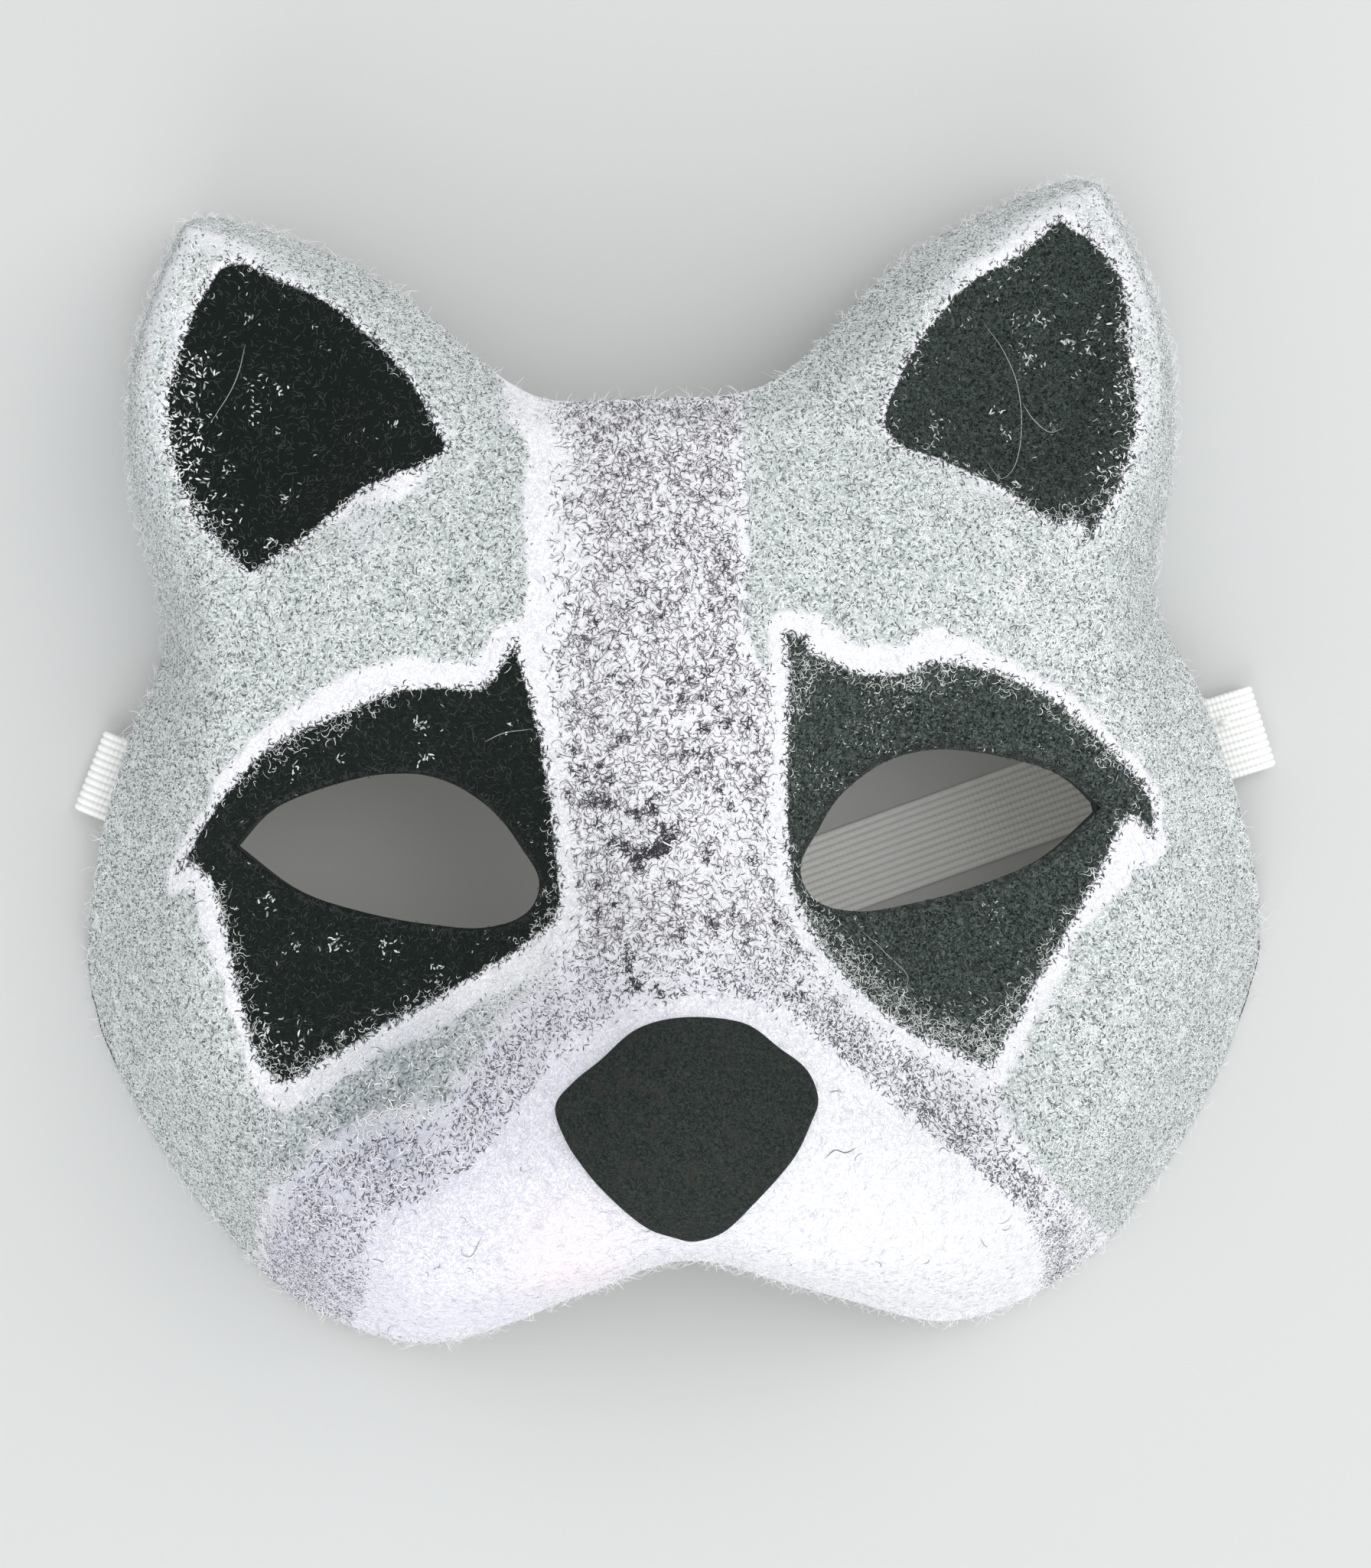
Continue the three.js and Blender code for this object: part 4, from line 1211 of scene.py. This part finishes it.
# %% Fibres over the black
curl_share = 0.16 + soft_spots(CURL_SPOTS)
curl_reach = 1.2 + 4.0 * np.minimum(curl_share, 1.2)
edge_band = step_up(black_zone, -0.5, 0.3) * step_up(-black_zone, -curl_reach, -0.2)
outer_band = step_up(black_zone, -1.2, -0.2) * step_up(-black_zone, -0.3, 0.2)
lint_grid = soft_spots(LINT_SPOTS) * (black_zone > 0.5)
bare_grid = soft_spots(BARE_SPOTS) * (black_zone > 0)
stray_grid = (black_zone > 0.8) * np.maximum(0, wobble) * (0.15 + right)
fibres_over_black = [
    lay_fibres("edge_curls", 2900, edge_band * curl_share, length=(0.5, 1.8), width=(0.05, 0.10),
               curl=(0.6, 4.5), lift=0.25, steps=6,
               tints=[(250, 251, 250), (222, 227, 225), (160, 167, 164)]),
    lay_fibres("bare_flecks", 420, bare_grid, length=(0.35, 1.1), width=(0.12, 0.3), curl=(0.0, 1.2),
               lift=0.05, tints=[(238, 241, 240), (206, 211, 209), (160, 166, 163)], steps=3),
    lay_fibres("lint", 280, lint_grid, length=(0.3, 1.0), width=(0.12, 0.3), curl=(0.0, 1.5),
               lift=0.1, tints=[(226, 230, 227), (190, 196, 192), (140, 147, 143)]),
    lay_fibres("stray_lint", 700, stray_grid, length=(0.25, 0.8), width=(0.08, 0.18), curl=(0.2, 2.5),
               lift=0.12, tints=[(150, 157, 153), (110, 117, 113), (200, 206, 202)], steps=3),
    lay_fibres("hole_fringe", 900, step_up(hole_zone, -1.3, -0.5), length=(0.6, 1.8), width=(0.07, 0.14),
               curl=(0.3, 3.0), lift=0.1, tints=[(10, 13, 12), (30, 35, 33)]),
    lay_fibres("black_tips", 2600, outer_band, length=(0.4, 1.2), width=(0.09, 0.18), curl=(0.2, 2.5),
               lift=0.12, tints=[(26, 31, 30), (48, 54, 52)]),
    # the black nap keeps the green cast of the black, a painted reflection of green grass
    lay_fibres("black_nap", 7000, (black_zone > 0.4) * 1.0, length=(0.5, 1.5), width=(0.09, 0.16),
               curl=(0.2, 2.5), lift=0.1, tints=[(7, 11, 9), (18, 25, 21), (36, 46, 41)], steps=3),
]
fibre_pieces += fibres_over_black
print("fibres over the black:", {piece.name: len(piece.data.polygons) for piece in fibres_over_black})

# %% [markdown]
# The strokes have matted into dark tufts, which give the stripe its character, and a few long hairs lie on
# the black and on the muzzle. A hair is the same ribbon, only it follows a path of its own.

# %% Dark tufts and long hairs
TUFTS = [
    # x, y, radius, fibres
    (-7.5, -11, 0.8, 28),
    (-6, -12, 0.7, 22),
    (-4.5, -13, 0.8, 36),
    (-2.5, -12.5, 0.9, 48),
    (-1, -12, 0.8, 42),
    (0, -10.5, 0.8, 38),
    (-1, -9, 0.7, 14),
    (-2, -6, 0.9, 22),
    (-8.5, -5, 0.8, 22),
    (-10.5, -4.5, 0.8, 20),
    (-8.5, -2, 0.8, 14),
    (-12, -2, 0.7, 8),
    (-10, -8, 0.9, 12),
    (-4.5, -14.5, 0.8, 14),
    (6, 5, 0.8, 12),
    (9, 5.5, 0.8, 14),
    (12, 5.5, 0.7, 10),
    (6.5, 13, 1.2, 14),
    (-5.5, -31, 0.9, 26),
    (-6.5, -28, 0.9, 22),
    (-2, -32, 0.9, 18),
    (0.5, -32.5, 0.8, 10),
    (16.5, -33.5, 0.8, 14),
    (-1.5, 25.5, 1, 14),
    (-4, 22.5, 0.8, 10),
    (-6.5, 18.5, 0.8, 10),
    (10, 32.5, 1, 14),
]
PALE_HAIR, DARK_HAIR, DUSTY_HAIR = (158, 163, 160), (52, 50, 52), (150, 148, 158)
LONG_HAIRS = [
    # tint, then the places that the hair passes
    (PALE_HAIR, [(50.5, 64), (53, 60), (55, 54), (55, 46), (53.5, 41.5), (51.5, 40), (49.5, 43)]),
    (PALE_HAIR, [(55.5, 51.5), (57, 49), (59.5, 47), (61.5, 47.5)]),
    (PALE_HAIR, [(-60, 65.5), (-61, 61.5), (-63, 57.5), (-65.5, 54)]),
    (PALE_HAIR, [(-26, 4.5), (-23.5, 5.5), (-19, 6)]),
    (PALE_HAIR, [(27.5, -25.5), (31, -29), (34, -32.5), (33.5, -34.5)]),
    (DARK_HAIR, [(20, -56), (21.5, -55), (23, -55.5), (24.5, -55)]),
    (DUSTY_HAIR, [(-31.5, -67), (-31.5, -68), (-30.5, -68.5), (-28.5, -65.5)]),
    (DUSTY_HAIR, [(-35, -69.5), (-35, -70), (-36, -70.5)]),
    (DUSTY_HAIR, [(-47.5, -87), (-46.5, -85), (-44.5, -84)]),
    (DUSTY_HAIR, [(-41.5, -64), (-41, -63), (-40.5, -63)]),
]
tuft_grid = soft_spots([(x, y, radius, fibres / radius**2) for x, y, radius, fibres in TUFTS])
tuft_fibres = sum(fibres for _, _, _, fibres in TUFTS)
fibre_pieces.append(
    lay_fibres("dark_tufts", tuft_fibres, tuft_grid, length=(0.5, 1.7), width=(0.1, 0.2), curl=(0.3, 3.2),
               lift=0.15, tints=[(10, 9, 11), (24, 22, 25), (42, 40, 44)]))
HAIR_STEPS, HAIR_SPACING, HAIR_WIDTH = 40, 0.02, 0.12
HAIR_LIFT, HAIR_WAVE, HAIR_TURN = 0.12, 0.08, 9
wave = HAIR_LIFT + HAIR_WAVE * np.sin(np.linspace(0, HAIR_TURN, HAIR_STEPS + 1))
for number, (hair_tint, hair) in enumerate(LONG_HAIRS):
    path, _, _ = smooth_path([(x, y, 0) for x, y in hair], HAIR_SPACING)
    x, y, _ = path[np.linspace(0, len(path) - 1, HAIR_STEPS + 1).astype(int)].T
    middle, normal = on_felt(x, y, wave)[None], surface_normal(x, y)[None]
    fibre_pieces.append(ribbons(f"long_hair_{number}", middle, normal, np.array([HAIR_WIDTH]), [hair_tint]))
print("pieces of fibre:", len(fibre_pieces))

# %% [markdown]
# Seen from the side, felt has a halo of fibres that stand off it. They are sparse and thin, and most of them
# show round the outline.


# %% Fuzz that stands off
FUZZ_DROOP, FUZZ_TILT, FUZZ_LIFT = 0.35, 0.3, 0.02


def stand_up(name, x, y, length, width, tints, steps=5):
    """Thin fibres that leave the felt at a slant and bend over."""
    count = len(x)
    normal = surface_normal(x, y)
    slant = rng.normal(size=(count, 3))
    slant -= normal * (slant * normal).sum(axis=1, keepdims=True)
    slant /= np.linalg.norm(slant, axis=1, keepdims=True)
    aside = np.cross(normal, slant)
    along = np.linspace(0, 1, steps + 1)[None, :, None]
    reach = length[:, None, None]
    lean, curl = between(0.4, 1.6, count)[:, None, None], between(-0.9, 0.9, count)[:, None, None]
    stand = normal[:, None] * (along - FUZZ_DROOP * along**2) + slant[:, None] * lean * along
    middle = on_felt(x, y, FUZZ_LIFT)[:, None] + reach * (stand + aside[:, None] * curl * along**2)
    facing = np.broadcast_to(aside[:, None] * FUZZ_TILT + np.array([0, 0, 1.0]), middle.shape)
    return ribbons(name, middle, facing, width, pick_tints(tints, count))


RIM_FUZZ = 4200
rim_x, rim_y = scatter(RIM_FUZZ, step_up(-inside_grid, -7, -0.5) * (1 - (black_zone > -1)))
fuzz_length, fuzz_width = between(0.5, 2.2, RIM_FUZZ), between(0.05, 0.09, RIM_FUZZ)
fibre_pieces.append(stand_up("rim_fuzz", rim_x, rim_y, fuzz_length, fuzz_width,
                             [(236, 238, 238), (210, 214, 214), (250, 250, 250)]))
print("rim fuzz:", len(fibre_pieces[-1].data.polygons))

# %% [markdown]
# The felt was one flat piece before it was stretched over the mould. Half of the closed wall's surface is
# the cloth's own area.

# %% [markdown]
# ## The shell
# The moulded shell shows from behind, through the eyes and as a thin line under the felt. It is the same
# kind of wall, deeper and with a coarser plan. Black paint has run over its edge at the eyes.

# %% Shell wall
shell_stuff, tree, shader = new_material("moulded_shell", roughness=0.7)
grain = add_grain(tree, size=0.0012)
pale = mix_colours(tree, grain["Lumps"], colour(208, 203, 190), colour(226, 222, 212))
pale = mix_colours(tree, calculate(tree, "MULTIPLY", grain["Threads"], 0.35), pale, colour(188, 182, 168))
eye_paint = ragged_mask(tree, read_attribute(tree, "eye_paint"), 0.8)
tree.links.new(mix_colours(tree, eye_paint, pale, colour(30, 35, 34)), shader.inputs["Base Color"])
add_bump(tree, shader, grain["Fibres"], strength=0.25, distance=0.0005)

PAINT_RUNS_OUTSIDE, PAINT_RUNS_INSIDE = 4, 1.2
SHELL_PITCH, SHELL_EDGE_ROWS = 2.0, [0.5, 1.2]
shell_plan = layer_plan(SHELL_PITCH, SHELL_EDGE_ROWS)
shell_xy = shell_plan[0]
shell_outer = under_surface(*shell_xy.T, FELT + GLUE_LINE)
shell_inner = under_surface(*shell_xy.T, FELT + GLUE_LINE + SHELL)
shell_points, shell_faces = wall_between(shell_plan, shell_outer, shell_inner, 0)
shell = mesh_object("moulded_wall", shell_points, shell_faces, shell_stuff)
near_eye = np.minimum.reduce([-inside_of(hole, *shell_xy.T)[0] for hole in (eye_right, eye_left)])
eye_run = np.concatenate([PAINT_RUNS_OUTSIDE - near_eye, PAINT_RUNS_INSIDE - near_eye])
set_attribute(shell, "eye_paint", eye_run)
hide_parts("mask_shell")
print("shell:", len(shell_faces), "triangles")

# %% [markdown]
# ## The nose
# The nose is cut from dense charcoal felt and glued on top. Its outline is the CAD one. The pad is a wall
# again, with a rounded upper edge, on a plan of its own.

# %% Nose material
nose_felt, tree, shader = new_material("nose_felt", roughness=0.95)
grain = add_grain(tree, size=0.0004)
charcoal = mix_colours(tree, ease(tree, grain["Fibres"], 0.35, 0.68), colour(25, 31, 29), colour(54, 61, 58))
faded = calculate(tree, "MULTIPLY", ease(tree, grain["Lumps"], 0.5, 0.75), 0.4)
charcoal = mix_colours(tree, faded, charcoal, colour(58, 54, 50))
tree.links.new(charcoal, shader.inputs["Base Color"])
add_bump(tree, shader, grain["Fibres"], strength=0.5, distance=0.0004)
shader.inputs["Specular IOR Level"].default_value = 0.2
print("nose nodes:", len(tree.nodes))

# %% Nose pad
NOSE = [
    (1.4, -35.8), (9, -37.1), (13.9, -40.8), (17.6, -44), (19, -48), (17.8, -51), (15.1, -55.5), (9.8, -60.8),
    (5.5, -64.9), (1.5, -66.2), (-1.6, -65.4), (-5.4, -63.5), (-10.6, -58.3), (-13.3, -55), (-15.4, -51.7),
    (-16.7, -47.4), (-14.2, -44.2), (-10, -41.1), (-4.9, -37.1),
]
NOSE_PITCH = 0.7
NOSE_ROUND, NOSE_DIP, NOSE_SUNK = 0.8, 0.5, 0.05
nose_outline = closed_curve(np.array(NOSE, float), EDGE_STEPS)
nose_rim = evenly_round(nose_outline, NOSE_PITCH)[::-1]
low, high = nose_rim.min(axis=0), nose_rim.max(axis=0)
squares = np.meshgrid(*(np.arange(low[c], high[c], NOSE_PITCH) for c in range(2)))
nose_fill = np.stack(squares, axis=-1).reshape(-1, 2)
nose_plan = plan_inside([nose_rim], nose_fill, NOSE_PITCH, [0.2, 0.45, NOSE_ROUND])
nose_xy = nose_plan[0]
nose_edge = np.maximum(0, inside_of(nose_outline, *nose_xy.T)[0])
nose_dip = NOSE_DIP * (1 - np.minimum(1, nose_edge / NOSE_ROUND)) ** 2
nose_top = under_surface(*nose_xy.T, nose_dip - GLUE_LINE - FELT)
nose_bottom = under_surface(*nose_xy.T, -GLUE_LINE + NOSE_SUNK)
nose_points, nose_faces = wall_between(nose_plan, nose_top, nose_bottom, 0)
nose = mesh_object("felt_nose", nose_points, nose_faces, nose_felt)
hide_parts("nose_pad")
print("nose:", len(nose_faces), "triangles")

# %% [markdown]
# ## The drop of glue
# A little hot glue has run out on the strap beside the right temple. A rounded drop is a squashed sphere
# whose underside is flattened where it met the strap.

# %% Glue drop
glue, tree, shader = new_material("dried_glue", roughness=0.25)
grain = add_grain(tree, size=0.0007)
cloudy = mix_colours(tree, grain["Lumps"], colour(214, 216, 208), colour(240, 241, 236))
tree.links.new(cloudy, shader.inputs["Base Color"])
shader.inputs["Coat Weight"].default_value = 0.4

BEAD_ROWS, BEAD_AROUND = 12, 24
BEAD_LOBES, BEAD_FLAT = 0.12, -0.75
drop_box = np.array([list(corner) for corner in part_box("glue_drop")]) / MM
drop_middle, drop_half = drop_box.mean(axis=0), (drop_box[1] - drop_box[0]) / 2
down = np.repeat(np.linspace(0, np.pi, BEAD_ROWS + 2)[1:-1], BEAD_AROUND)
turn = np.tile(np.linspace(0, 2 * np.pi, BEAD_AROUND, endpoint=False), BEAD_ROWS)
ball = np.stack([np.sin(down) * np.cos(turn), np.sin(down) * np.sin(turn), np.cos(down)], axis=1)
ball = np.concatenate([ball, [(0, 0, 1), (0, 0, -1)]])
ball[:, 0] += BEAD_LOBES * np.cos(3 * np.arctan2(ball[:, 1], ball[:, 0])) * (1 - ball[:, 2] ** 2)
ball[:, 2] = np.maximum(ball[:, 2], BEAD_FLAT)
rows = np.arange(BEAD_ROWS * BEAD_AROUND).reshape(BEAD_ROWS, BEAD_AROUND)
following = np.roll(rows, -1, axis=1)
sides = np.stack([rows[:-1], rows[1:], following[1:], following[:-1]], axis=-1).reshape(-1, 4).tolist()
top, bottom = rows.size, rows.size + 1
caps = [[top, a, b] for a, b in zip(rows[0].tolist(), following[0].tolist())]
caps += [[bottom, b, a] for a, b in zip(rows[-1].tolist(), following[-1].tolist())]
bead = mesh_object("glue_bead", drop_middle + ball * drop_half, sides + caps, glue)
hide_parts("glue_drop")
print("glue bead faces:", len(bead.data.polygons))

# %% [markdown]
# ## Floor and light
# The floor is plain and pale. The light is that of a bright overcast sky: the world lights from everywhere,
# a large soft lamp from the right gives the face its form, and a weaker one from the chin's side lifts the
# shadows of the muzzle.

# %% Floor
FLOOR_REACH = 3
floor_stuff, _, shader = new_material("floor", roughness=0.9)
shader.inputs["Base Color"].default_value = (0.6, 0.61, 0.6, 1)
floor_corners = [(x * FLOOR_REACH, y * FLOOR_REACH, 0) for x, y in ((-1, -1), (1, -1), (1, 1), (-1, 1))]
floor_mesh = bpy.data.meshes.new("floor")
floor_mesh.from_pydata(floor_corners, [], [(0, 1, 2, 3)])
floor_mesh.materials.append(floor_stuff)
floor = bpy.data.objects.new("floor", floor_mesh)
bpy.context.scene.collection.objects.link(floor)
print("floor", 2 * FLOOR_REACH, "m wide")


# %% Lamps and world
def add_lamp(name, place, size, watts):
    """A round soft lamp that points at the mask."""
    lamp_data = bpy.data.lights.new(name, "AREA")
    lamp_data.shape, lamp_data.size, lamp_data.energy = "DISK", size, watts
    lamp = bpy.data.objects.new(name, lamp_data)
    lamp.location = place
    lamp.rotation_euler = (-lamp.location).to_track_quat("-Z", "Y").to_euler()
    bpy.context.scene.collection.objects.link(lamp)


add_lamp("soft_lamp", (0.8, 0.2, 1.1), size=1.2, watts=7)
add_lamp("fill_lamp", (-0.2, -1.0, 0.6), size=0.9, watts=4)
world = bpy.data.worlds.new("sky")
world.use_nodes = True
sky = world.node_tree.nodes["Background"].inputs
sky["Color"].default_value = (0.97, 0.98, 1.0, 1)
sky["Strength"].default_value = 0.92
bpy.context.scene.world = world
bpy.context.scene.view_settings.view_transform = "Standard"
print("lamps:", [light.name for light in bpy.data.lights])
